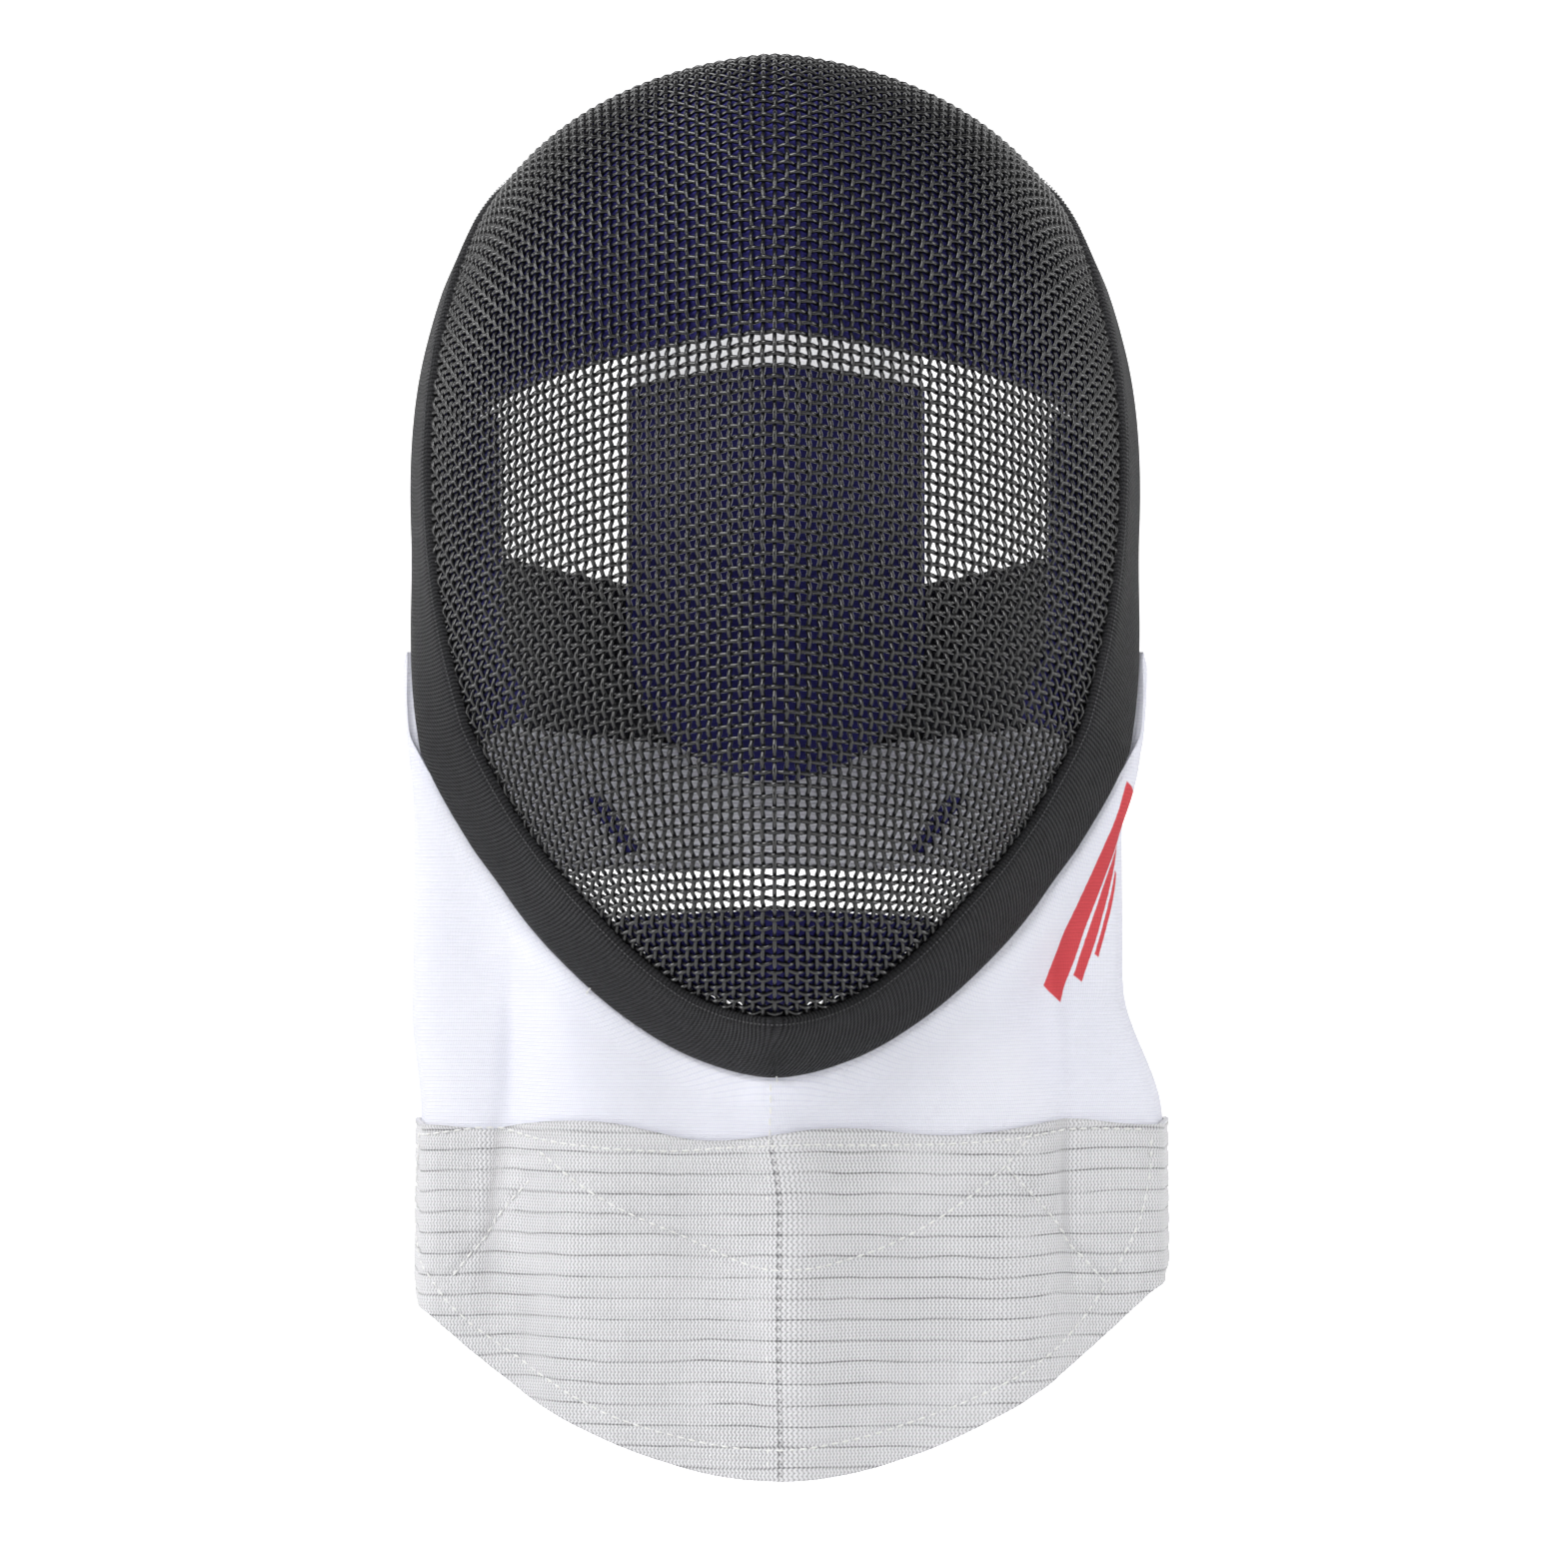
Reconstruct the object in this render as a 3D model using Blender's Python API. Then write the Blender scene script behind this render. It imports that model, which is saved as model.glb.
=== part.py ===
"""Fencing mask: a dome of woven wire mesh with a soft centre ridge, a knit band round its edge, a white cloth
bib with a conductive lower panel, navy pads inside, a padded tongue and two elastic bands behind.

The dome is one surface, found by two walks. The first goes along the ridge line from the foremost point up over
the crown or down to the chin, turning by RIDGE_TURN_UP and RIDGE_TURN_DOWN. From any point of it the second goes
sideways across the face, first at an angle back from straight across, then turning back evenly, in a plane that
sinks; STATIONS gives the three at stations of the ridge. "across" is the length of the sideways walk and "along"
the length of the ridge walk.
The mask faces -Y and +Z is up. The origin is where the top of a head touches the forehead pad.
"""
import bmesh
import bpy
import numpy as np

# Sizes of the dome, in metres and degrees
RIDGE_UP = 0.253          # ridge line from the foremost point to the seam at the back of the crown
RIDGE_DOWN = 0.109        # ridge line from the foremost point down to the seam at the chin
SIDE_REACH = 0.136        # greatest sideways walk from the ridge to the seam, at the temples
MESH_THICK = 0.002        # two wires
RIDGE_SOFT = 0.0025       # length over which the ridge rounds off
GAP = 0.00035             # clearance between pieces

# Knit band round the edge
BAND_WIDTH = 0.021
BAND_TUCK = 0.014         # how far the mesh reaches into the band
KNIT_THICK = 0.0016
LIP_START = 0.0015        # where the band's lips begin, outside the seam
FLARE_CHIN = 22.0         # how far the band turns out of the dome's surface at the chin
FLARE_SIDE = -5.0

# Bib
BIB_THICK = 0.003
BIB_HANG = 0.2165         # from the foremost point's level down to the middle of the hem
BIB_LEAN = 0.11           # how much the bib comes forward for each metre it falls
BIB_HEM_CURVE = 4.8       # rise of the hem, per metre, for each square metre of distance from the middle
BIB_TILT = 0.034          # how much higher the hem hangs on the right than on the left, for each metre across
BIB_CORNER = 0.001        # how much further the hem rises round its corners
BIB_SIDE_HEM = 0.160      # level of the hem at the wings below the foremost point
BIB_TOP = 0.13            # where the wings end beside the edge, as a share of RIDGE_UP
WING_REACH = 0.026        # how far the wings go back behind the edge
PANEL_TOP = 0.125         # level of the conductive panel's upper edge below the foremost point
PANEL_THICK = 0.0012
FOLD_DEPTH = 0.003
BIB_SWAY = 0.0045         # how far the panel hangs to one side
BIB_PULL = 0.002          # how far the cloth above it is pulled to the other side
BIB_TRIM = 0.02           # share by which the bib draws in just below its top edge
BIB_WAIST = 0.052         # share by which it has drawn in below the strap
BIB_FLARE = 0.04          # share by which it widens again down to the panel

# Pads inside
PAD_THICK = 0.008
PAD_SOFT = 0.016          # length over which a pad rounds off the inside of the ridge
PAD_EDGE = 0.985          # share of the way to the seam at which a pad ends
BROW = 0.342              # where the forehead pad ends, as a share of RIDGE_UP
SIDE_INNER = 0.76         # where a side pad begins, as a share of SIDE_REACH
CHIN_TOP = 0.668          # where the chin pad begins, as a share of RIDGE_DOWN
TAPE_TOP = 0.29           # where the tapes above the chin begin and end, as shares of RIDGE_DOWN
TAPE_END = 0.46
TAPE_ACROSS = 0.47        # how far across they begin, as a share of SIDE_REACH
TAPE_WIDTH = 0.005
TAPE_THICK = 0.002

# Tongue and elastic bands behind
TONGUE_WIDTH = 0.084
TONGUE_THICK = 0.012
TONGUE_TOP = 0.086        # level of the pad's upper edge above the foremost point
TONGUE_END = 0.033        # level of its lower end below the foremost point
TONGUE_BACK = 0.198       # depth of the pad behind the foremost point
SLEEVE_THICK = 0.003
SLEEVE_SEAT = 0.90        # where the sleeve begins under the crown, as a share of RIDGE_UP
STRAP_WIDTH = 0.044
STRAP_THICK = 0.0018
STRAP_LEVEL = -0.0012     # level of its middle, above the foremost point
STRAP_RISE = 0.0085       # how much higher its ends are
STRAP_SPLAY = 0.004       # how much wider it is at its ends
NECK_END = 0.0585         # level of the neck band's lower edge below the foremost point
TAB_REACH = 0.012         # how far the strap's tabs go back behind the edge

# Turning of the ridge line: share of its length, degrees from upright
RIDGE_TURN_UP = ((0, 0), (.395, 25.5), (.613, 47), (.731, 68), (.81, 88), (1.0, 98))
RIDGE_TURN_DOWN = ((0, 0), (.11, 1), (1.0, 58), (1.2, 66))
# Stations along the ridge: share of RIDGE_DOWN below or RIDGE_UP above, first angle, turn over SIDE_REACH, sink
STATIONS = ((-1.2, 37, 60, 0), (-1.0, 35, 60, 1), (-.71, 31, 59, 3), (-.40, 27, 58, 8), (-.25, 25.3, 55, 11),
            (0, 23.7, 48, 13), (.24, 23.3, 45, 14), (.455, 20, 51, 15), (.553, 17.5, 58, 17),
            (.652, 14, 67, 23), (.79, 9, 77, 37), (.93, 5, 83, 48), (1.07, 2, 85, 53))
# The seam between mesh and band, from the chin over the right temple to the crown: share of RIDGE_DOWN below or
# RIDGE_UP above, share of SIDE_REACH
SEAM = ((-1.0, 0), (-.93, .165), (-.80, .30), (-.62, .46), (-.40, .645), (-.15, .775), (.05, .875), (.16, .95),
        (.30, .99), (.42, .965), (.55, .90), (.68, .80), (.80, .655), (.90, .46), (.97, .24), (1.0, 0))

RIM_COUNT = 64
RING_COUNT = 13


def smooth_table(x, xs, ys):
    """A smooth curve through the stations, level at neither end."""
    xs, ys = np.asarray(xs, float), np.asarray(ys, float)
    slope = np.gradient(ys, xs)
    x = np.clip(x, xs[0], xs[-1])
    k = np.clip(np.searchsorted(xs, x) - 1, 0, len(xs) - 2)
    h = xs[k + 1] - xs[k]
    t = (x - xs[k]) / h
    return ((2 * t ** 3 - 3 * t ** 2 + 1) * ys[k] + (t ** 3 - 2 * t ** 2 + t) * h * slope[k]
            + (3 * t ** 2 - 2 * t ** 3) * ys[k + 1] + (t ** 3 - t ** 2) * h * slope[k + 1])


def ease(x):
    x = np.clip(x, 0, 1)
    return x * x * (3 - 2 * x)


def unit(v):
    return v / np.linalg.norm(v, axis=-1, keepdims=True)


def ridge_walk(length, table, reach, sign):
    """Depth and level along the ridge, walking from the foremost point."""
    t = np.linspace(0, length * reach, 700)
    turn = np.radians(smooth_table(t / length, *np.array(table).T))
    step = t[1] - t[0]
    y = np.concatenate([[0], np.cumsum((np.sin(turn[1:]) + np.sin(turn[:-1])) * step / 2)])
    z = np.concatenate([[0], np.cumsum((np.cos(turn[1:]) + np.cos(turn[:-1])) * step / 2)])
    return sign * t, y, sign * z


up, down = ridge_walk(RIDGE_UP, RIDGE_TURN_UP, 1.0, 1), ridge_walk(RIDGE_DOWN, RIDGE_TURN_DOWN, 1.2, -1)
RIDGE_LINE = [np.concatenate([d[::-1], u[1:]]) for d, u in zip(down, up)]
STATION = np.array(STATIONS, float).T


def along(share):
    """Length along the ridge from a share of RIDGE_UP above or RIDGE_DOWN below."""
    share = np.asarray(share, float)
    return share * np.where(share < 0, RIDGE_DOWN, RIDGE_UP)


def dome(s, v, soft=RIDGE_SOFT):
    """Points of the dome: s is the length across, minus on the left, and v the length along the ridge."""
    s, v = np.broadcast_arrays(np.asarray(s, float), np.asarray(v, float))
    share = v / np.where(v < 0, RIDGE_DOWN, RIDGE_UP)
    start, turn, sink = (smooth_table(share, STATION[0], STATION[k]) for k in (1, 2, 3))
    w = np.linspace(0, 1, 65)
    walk = np.abs(s)[..., None] * w
    angle = start[..., None] * (1 - np.exp(-walk / soft)) + turn[..., None] * walk / SIDE_REACH
    angle = np.radians(np.minimum(angle, 90))
    low = np.radians(sink[..., None] * (.8 + .5 * walk / SIDE_REACH))
    weight = np.ones(65)
    weight[[0, -1]] = .5
    weight = weight / 64 * np.abs(s)[..., None]
    x = (np.cos(angle) * weight).sum(-1) * np.sign(s)
    back = (np.sin(angle) * np.cos(low) * weight).sum(-1)
    fall = (np.sin(angle) * np.sin(low) * weight).sum(-1)
    y = np.interp(v, RIDGE_LINE[0], RIDGE_LINE[1]) + back
    z = np.interp(v, RIDGE_LINE[0], RIDGE_LINE[2]) - fall
    return np.stack([x, y, z], -1)


def dome_normal(s, v, soft=RIDGE_SOFT):
    e = 0.0006
    across = dome(s + e, v, soft) - dome(s - e, v, soft)
    up_ = dome(s, v + e, soft) - dome(s, v - e, soft)
    return unit(np.cross(across, up_))


def seam(count):
    """The seam as evenly spaced stations: across, along; the first is at the chin, the next ones on the right."""
    share_v, share_s = np.array(SEAM, float).T
    v, s = along(share_v), share_s * SIDE_REACH
    v = np.concatenate([v[3:0:-1], v, v[-2:-5:-1]])
    s = np.concatenate([-s[3:0:-1], s, -s[-2:-5:-1]])
    p = dome(s, v)
    run = np.concatenate([[0], np.cumsum(np.linalg.norm(np.diff(p, axis=0), axis=1))])
    run -= run[3]
    dense = np.linspace(0, run[-4], 600)
    s, v = smooth_table(dense, run, s), smooth_table(dense, run, v)
    p = dome(s, v)
    run = np.concatenate([[0], np.cumsum(np.linalg.norm(np.diff(p, axis=0), axis=1))])
    half = np.linspace(0, run[-1], count // 2 + 1)
    s, v = np.interp(half, run, s), np.interp(half, run, v)
    s[0] = s[-1] = 0
    return np.concatenate([s, -s[-2:0:-1]]), np.concatenate([v, v[-2:0:-1]])


def seam_frame(s, v):
    """Points of the seam, the direction out of the dome that the band takes, and the band's own normal."""
    p, n = dome(s, v), dome_normal(s, v)
    t = unit(np.roll(p, -1, 0) - np.roll(p, 1, 0))
    out = unit(np.cross(t, n))
    n = unit(np.cross(out, t))
    flare = FLARE_SIDE + (FLARE_CHIN - FLARE_SIDE) * ease((.26 - v / RIDGE_UP) / .30)
    a = np.radians(flare)[:, None]
    return p, np.cos(a) * out + np.sin(a) * n, np.cos(a) * n - np.sin(a) * out, n


def material(name, colour, rough, metal=0.0):
    m = bpy.data.materials.new(name)
    m.use_nodes = True
    b = m.node_tree.nodes["Principled BSDF"]
    b.inputs["Base Color"].default_value = (*colour, 1)
    b.inputs["Roughness"].default_value = rough
    b.inputs["Metallic"].default_value = metal
    return m


def solid(name, verts, faces, mat):
    """One closed mesh object with smooth shading, its faces turned outwards."""
    me = bpy.data.meshes.new(name)
    faces = [half for f in faces for half in ((f[:3], (f[0], f[2], f[3])) if len(f) == 4 else (f,))]
    me.from_pydata([tuple(p) for p in np.asarray(verts, float) - ORIGIN], [], [tuple(f) for f in faces])
    bm = bmesh.new()
    bm.from_mesh(me)
    bmesh.ops.recalc_face_normals(bm, faces=bm.faces)
    bm.to_mesh(me)
    bm.free()
    me.polygons.foreach_set("use_smooth", np.ones(len(me.polygons), bool))
    me.materials.append(mat)
    ob = bpy.data.objects.new(name, me)
    bpy.context.scene.collection.objects.link(ob)
    return ob


def grid_faces(rows, cols, first=0, closed=False):
    """Quads between the points of a grid stored row by row; closed joins the last column to the first."""
    a = np.arange(rows - 1)[:, None] * cols
    b = np.arange(cols if closed else cols - 1)[None]
    c = (b + 1) % cols
    return (np.stack([a + b, a + c, a + cols + c, a + cols + b], -1) + first).reshape(-1, 4).tolist()


def turned(faces):
    """The same quads facing the other way, still split along the same diagonal."""
    return [f[:1] + f[:0:-1] for f in faces]


def slab(name, outer, inner, mat):
    """A sheet between two grids of points, closed round its four edges."""
    rows, cols = outer.shape[:2]
    n = rows * cols
    faces = grid_faces(rows, cols) + turned(grid_faces(rows, cols, n))
    idx = np.arange(n).reshape(rows, cols)
    loop = np.concatenate([idx[0], idx[1:, -1], idx[-1, -2::-1], idx[-2:0:-1, 0]])
    nxt = np.roll(loop, -1)
    faces += np.stack([loop, loop + n, nxt + n, nxt], 1).tolist()
    return solid(name, np.concatenate([outer.reshape(-1, 3), inner.reshape(-1, 3)]), faces, mat)


def cushion(name, mid, normal, thick, mat, edge=0.35, ramp=2.0):
    """A padded sheet round a grid of middle points, thinner at its edges; edge is the share left there."""
    rows, cols = mid.shape[:2]
    i, j = np.arange(rows), np.arange(cols)
    near = np.minimum(np.minimum(i, rows - 1 - i)[:, None], np.minimum(j, cols - 1 - j)[None])
    swell = edge + (1 - edge) * np.sqrt(np.clip(near / ramp, 0, 1))
    half = (thick / 2 * swell)[..., None] * normal
    return slab(name, mid + half, mid - half, mat)


def grid_normal(grid):
    """Normals of a grid of points, rows running downwards and columns to the right: they point forwards."""
    down_, right = np.gradient(grid, axis=0), np.gradient(grid, axis=1)
    return unit(np.cross(down_, right))


def mesh_cage(rim):
    """The woven dome as one thin wall: rings about a point of the ridge, then the strip inside the band."""
    s, v, p, out, band_n, n = rim
    pole = along(.22)
    share = np.arange(1, RING_COUNT + 1) / RING_COUNT
    grid_s, grid_v = share[:, None] * s, pole + share[:, None] * (v - pole)
    mid = dome(grid_s, grid_v)
    normal = dome_normal(grid_s, grid_v)
    normal[-1] = unit(n + band_n)
    w = np.array([LIP_START, BAND_TUCK / 2, BAND_TUCK])[:, None, None]
    mid = np.concatenate([mid, p + out * w])
    normal = np.concatenate([normal, np.repeat(band_n[None], 3, 0)])
    rings, m = mid.shape[0], len(s)
    top, top_n = dome(0.0, pole), dome_normal(np.array(0.0), pole)
    half = MESH_THICK / 2
    outer = np.concatenate([(top + top_n * half)[None], (mid + normal * half).reshape(-1, 3)])
    inner = np.concatenate([(top - top_n * half)[None], (mid - normal * half).reshape(-1, 3)])
    k, nk = np.arange(m), (np.arange(m) + 1) % m
    fan = np.stack([np.zeros(m, int), k + 1, nk + 1], 1)
    faces = fan.tolist() + grid_faces(rings, m, 1, True)
    size = len(outer)
    faces += (fan[:, ::-1] + size).tolist() + turned(grid_faces(rings, m, 1 + size, True))
    last = 1 + (rings - 1) * m
    faces += np.stack([last + k, last + nk, last + nk + size, last + k + size], 1).tolist()
    return solid("mesh_cage", np.concatenate([outer, inner]), faces,
                 material("black_mesh", (.035, .036, .04), .45, .6))


def edge_binding(rim):
    """The knit band: a deep U-shaped section carried round the whole seam."""
    s, v, p, out, band_n, n = rim
    c, t, w = MESH_THICK / 2 + GAP, KNIT_THICK, BAND_WIDTH
    half = np.array([(LIP_START, c), (LIP_START, c + .8 * t), (.3 * w, c + t), (.75 * w, c + t),
                     (.94 * w, .62 * (c + t))])
    groove = [(BAND_TUCK / 2, -c), (BAND_TUCK + GAP, -c), (BAND_TUCK + GAP, c), (BAND_TUCK / 2, c)]
    section = np.concatenate([half, [(w, 0)], half[::-1] * (1, -1), groove])
    pts = p[:, None] + out[:, None] * section[None, :, :1] + band_n[:, None] * section[None, :, 1:]
    m, k = pts.shape[:2]
    a, b = np.arange(m)[:, None] * k, (np.arange(m)[:, None] + 1) % m * k
    i = np.arange(k)[None]
    j = (i + 1) % k
    inwards = (np.roll(section[:, 0], -1) < section[:, 0])[None, :, None]
    faces = np.where(inwards, np.stack([b + i, b + j, a + j, a + i], -1), np.stack([a + i, b + i, b + j, a + j], -1))
    faces = faces.reshape(-1, 4).tolist()
    return solid("edge_binding", pts.reshape(-1, 3), faces, material("charcoal_knit", (.065, .065, .07), .85))


def bib_grid():
    """Middle surface of the bib: columns from the left wing to the right one, rows from the top edge down."""
    s, v = seam(RIM_COUNT)
    p, out, band_n, n = seam_frame(s, v)
    edge = (p + out * (BAND_WIDTH + GAP + .0006))[:RIM_COUNT // 2]
    last = np.interp(BIB_TOP * RIDGE_UP, v[:RIM_COUNT // 2], np.arange(RIM_COUNT // 2))
    at = np.concatenate([np.arange(np.floor(last)), [last]])
    right = np.stack([np.interp(at, np.arange(len(edge)), edge[:, k]) for k in range(3)], -1)
    way = unit((right[-1] - right[-2])[:2])
    base = np.arctan2(way[1], way[0])
    wing, here = [], right[-1].copy()
    for k, a in enumerate(np.radians([-5., -3., 1., 5.])):
        here = here + np.array([np.cos(base + a), np.sin(base + a), 0]) * WING_REACH / 4
        here[2] = right[-1][2] - .002 * (k + 1) - .001 * (k == 3)
        wing.append(here.copy())
    top = np.concatenate([right, wing])
    top = np.concatenate([top[:0:-1] * (-1, 1, 1), top])
    x = top[:, 0]
    hem = -BIB_HANG + BIB_TILT * x + BIB_HEM_CURVE * x ** 2 + BIB_CORNER * ease((np.abs(x) - .086) / .016)
    side = ease((np.abs(np.linspace(-1, 1, len(x))) - .78) / .22)
    hem = hem * (1 - side) - BIB_SIDE_HEM * side
    hem[[0, -1]] += .005
    line = np.full(len(x), -PANEL_TOP)
    top_z = np.maximum(top[:, 2], line + .012)
    hem = np.minimum(hem, line - .012)
    upper, lower = np.linspace(0, 1, 7)[:, None], np.linspace(0, 1, 7)[1:, None]
    z = np.concatenate([top_z + (line - top_z) * upper, line + (hem - line) * lower])
    fall = top_z - z
    free = ease(fall / .035)
    below = ease((-z - .018) / .03)
    wide = BIB_FLARE * ease((-z - .085) / .04) - BIB_TRIM - (BIB_WAIST - BIB_TRIM) * below
    sway = (BIB_SWAY + BIB_PULL) * ease((-z - .09) / .035) - BIB_PULL * below
    gx = x + free * (x * wide + sway)
    gy = top[:, 1] - BIB_LEAN * fall
    fold = (np.exp(-((gx + .068 - .09 * (z + .095)) / .007) ** 2) + .8 * np.exp(-((gx - .074) / .006) ** 2))
    gy = gy + FOLD_DEPTH * fold * free * ease((z + BIB_HANG - .03) / .05)
    return np.stack([gx, gy, z], -1)


def bib():
    grid = bib_grid()
    n = grid_normal(grid)
    half = n * BIB_THICK / 2
    slab("bib_cloth", grid + half, grid - half, material("white_cloth", (.86, .87, .92), .8))
    lower, n = grid[6:], n[6:]
    base = BIB_THICK / 2 + GAP
    slab("bib_conductive_panel", lower + n * (base + PANEL_THICK), lower + n * base,
         material("conductive_cloth", (.62, .62, .6), .5, .3))
    return grid


def pad_points(s, v):
    """Middle surface of a pad lying against the inside of the mesh."""
    depth = MESH_THICK / 2 + GAP + .0004 + PAD_THICK / 2
    n = dome_normal(s, v, PAD_SOFT)
    return dome(s, v) - n * depth, n


def seam_across(v):
    """How far across the seam lies at a length along the ridge."""
    share_v, share_s = np.array(SEAM, float).T
    return np.interp(v, along(share_v), share_s * SIDE_REACH)


def pads(navy):
    v = np.linspace(RIDGE_UP * .965, RIDGE_UP * BROW, 11)[:, None]
    reach = seam_across(v) * PAD_EDGE
    mid, n = pad_points(np.linspace(-1, 1, 21) * reach, v)
    cushion("forehead_pad", mid, n, PAD_THICK, navy)
    v = np.linspace(RIDGE_UP * BROW - .004, -RIDGE_DOWN * .05, 9)[:, None]
    inner = SIDE_REACH * SIDE_INNER - .012 * ease(-v / .02 + 1)
    outer = seam_across(v) * PAD_EDGE
    for side, name in ((-1, "side_pad_left"), (1, "side_pad_right")):
        s = side * (inner + (outer - inner) * np.linspace(0, 1, 5)[None])
        mid, n = pad_points(s[:, ::-1] if side < 0 else s, v + 0 * s)
        cushion(name, mid, n, PAD_THICK, navy, ramp=1.5)
    v = np.linspace(-RIDGE_DOWN * CHIN_TOP, -RIDGE_DOWN * .975, 6)[:, None]
    reach = seam_across(v) * PAD_EDGE
    mid, n = pad_points(np.linspace(-1, 1, 15) * reach, v)
    cushion("chin_pad", mid, n, PAD_THICK, navy)
    # Short tapes sewn to the mesh above the chin pad
    t = np.linspace(0, 1, 7)[:, None]
    s = SIDE_REACH * (TAPE_ACROSS - .115 * t) + np.array([-.5, 0, .5]) * TAPE_WIDTH
    v = -RIDGE_DOWN * (TAPE_TOP + (TAPE_END - TAPE_TOP) * t)
    for side, name in ((-1, "chin_tape_left"), (1, "chin_tape_right")):
        ss = side * s
        depth = MESH_THICK / 2 + GAP + .0004 + TAPE_THICK / 2
        n = dome_normal(ss, v, PAD_SOFT)
        mid = dome(ss, v) - n * depth
        half = n * TAPE_THICK / 2
        slab(name, mid + half, mid - half, navy)


def tongue(navy):
    """A curved pad hung from the crown by a pale sleeve."""
    z0, z1 = TONGUE_TOP, -TONGUE_END
    round_ = TONGUE_WIDTH / 2
    u = np.linspace(-1, 1, 13)[None]
    rows = np.concatenate([[0, .03, .1], np.linspace(.2, .66, 4), [.78, .87, .94, .985, 1]])[:, None]
    z = z0 + (z1 - z0) * rows
    left = np.clip((z - z1) / round_, 0, 1)
    half = round_ * np.sqrt(np.clip(1 - (1 - left) ** 2, .02, 1))
    x = half * u
    bow = x ** 2 * 4.2
    arch = -.008 * (u ** 2) * (1 - rows) ** 3
    y = TONGUE_BACK - .008 * ease((.06 - z) / .10) - bow - TONGUE_THICK / 2
    mid = np.stack([x, y + 0 * x, z + arch + 0 * x], -1)
    n = grid_normal(mid)
    cushion("tongue_pad", mid, n, TONGUE_THICK, navy, edge=.4, ramp=2.5)
    # Sleeve: sewn under the forehead pad at the crown, then back and down to the pad's upper edge
    u, t = np.linspace(-1, 1, 9), np.linspace(0, 1, 11)[:, None, None]
    s, v = TONGUE_WIDTH * .4 * u, np.full(9, RIDGE_UP * SLEEVE_SEAT)
    seat, n = pad_points(s, v)
    p0 = seat - n * (PAD_THICK * .41 + GAP + SLEEVE_THICK / 2)  # the pad is thinner near its edge
    x = TONGUE_WIDTH / 2 * u
    p3 = np.stack([x, TONGUE_BACK - TONGUE_THICK / 2 + .001 - x ** 2 * 4.2, z0 + .0012 - .008 * u ** 2], -1)
    p1, p2 = p0 + .030 * unit(dome(s, v + .001) - dome(s, v - .001)), p3 + (0, .006, .036)
    mid = (1 - t) ** 3 * p0 + 3 * t * (1 - t) ** 2 * p1 + 3 * t ** 2 * (1 - t) * p2 + t ** 3 * p3
    n = grid_normal(mid)
    h = n * SLEEVE_THICK / 2
    slab("tongue_sleeve", mid + h, mid - h, material("pale_sleeve", (.8, .81, .84), .85))


def round_band(name, start, back, top, low, thick, mat, samples=21):
    """An elastic band from one side round the back to the other. start is its right end, x and y, row by row; top
    and low are the levels of its two edges, each at the back and at the ends."""
    a = np.linspace(-1, 1, samples)
    power = 2.6
    bend = np.abs(np.cos(a * np.pi / 2)) * (np.abs(a) < .999)
    x, y = np.broadcast_to(np.asarray(start, float), (3, 2)).T[..., None]
    x = x * np.sign(a) * np.abs(np.sin(a * np.pi / 2)) ** (2 / power)
    y = y + (back - y) * bend ** (2 / power)
    rows = np.array([0, .5, 1])[:, None]
    up_ = ease(np.abs(a) / .7)
    z = (top[0] * (1 - up_) + top[1] * up_) * (1 - rows) + (low[0] * (1 - up_) + low[1] * up_) * rows
    mid = np.stack([x, y, z], -1)
    n = grid_normal(mid)
    h = n * thick / 2
    return slab(name, mid + h, mid - h, mat)


def bands(grid):
    """The back strap, its tabs at the ears, and the neck band between the wings."""
    s, v = seam(240)
    p, out, band_n, n = seam_frame(s, v)
    inward = BIB_THICK / 2 + GAP + .0012 + STRAP_THICK
    behind = (p + out * (BAND_WIDTH + .0012) - band_n * inward)[:100]
    half, ends = STRAP_WIDTH / 2, STRAP_LEVEL + STRAP_RISE
    top = STRAP_LEVEL + half, ends + half + STRAP_SPLAY / 2
    low = STRAP_LEVEL - half, ends - half - STRAP_SPLAY / 2
    level = np.linspace(top[1] + .001, low[1] - .001, 7)
    front = np.stack([np.interp(level, behind[:, 2], behind[:, k]) for k in (0, 1)], -1)
    end = np.array([front[:, 0].min() - .0005, front[:, 1].max() + TAB_REACH])
    black = material("black_elastic", (.03, .03, .033), .8)
    knit = material("tab_knit", (.06, .06, .065), .85)
    back = TONGUE_BACK + .0006 + GAP + STRAP_THICK
    for side, name in ((-1, "strap_tab_left"), (1, "strap_tab_right")):
        t = np.linspace(0, 1, 4)[None, :, None]
        mid = front[:, None] * (1 - t) + end * t
        mid = np.concatenate([mid, np.repeat(level[:, None, None], 4, 1)], -1) * (side, 1, 1)
        n = grid_normal(mid[:, ::side])[:, ::side]
        slab(name, mid + n * .0012, mid - n * .0012, knit)
    round_band("back_strap", end + (0, .001), back, top, low, STRAP_THICK, black)
    # The neck band meets the strap's lower edge and is sewn edge to edge to the wings
    top = low[0] - GAP, low[1] - GAP
    rows = np.linspace(top[1], -NECK_END, 3)
    wing = np.stack([np.interp(-rows, -grid[:, -1, 2], grid[:, -1, k]) for k in (0, 1)], -1)
    round_band("neck_band", wing + (0, GAP + .0003), back, top, (-NECK_END, -NECK_END), .0016,
               material("pale_elastic", (.55, .55, .57), .85))


for ob in list(bpy.data.objects):
    bpy.data.objects.remove(ob, do_unlink=True)

ORIGIN = np.zeros(3)
seat_mid, seat_n = pad_points(np.array(0.0), np.array(RIDGE_UP * .86))
ORIGIN = seat_mid - seat_n * PAD_THICK / 2

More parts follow.
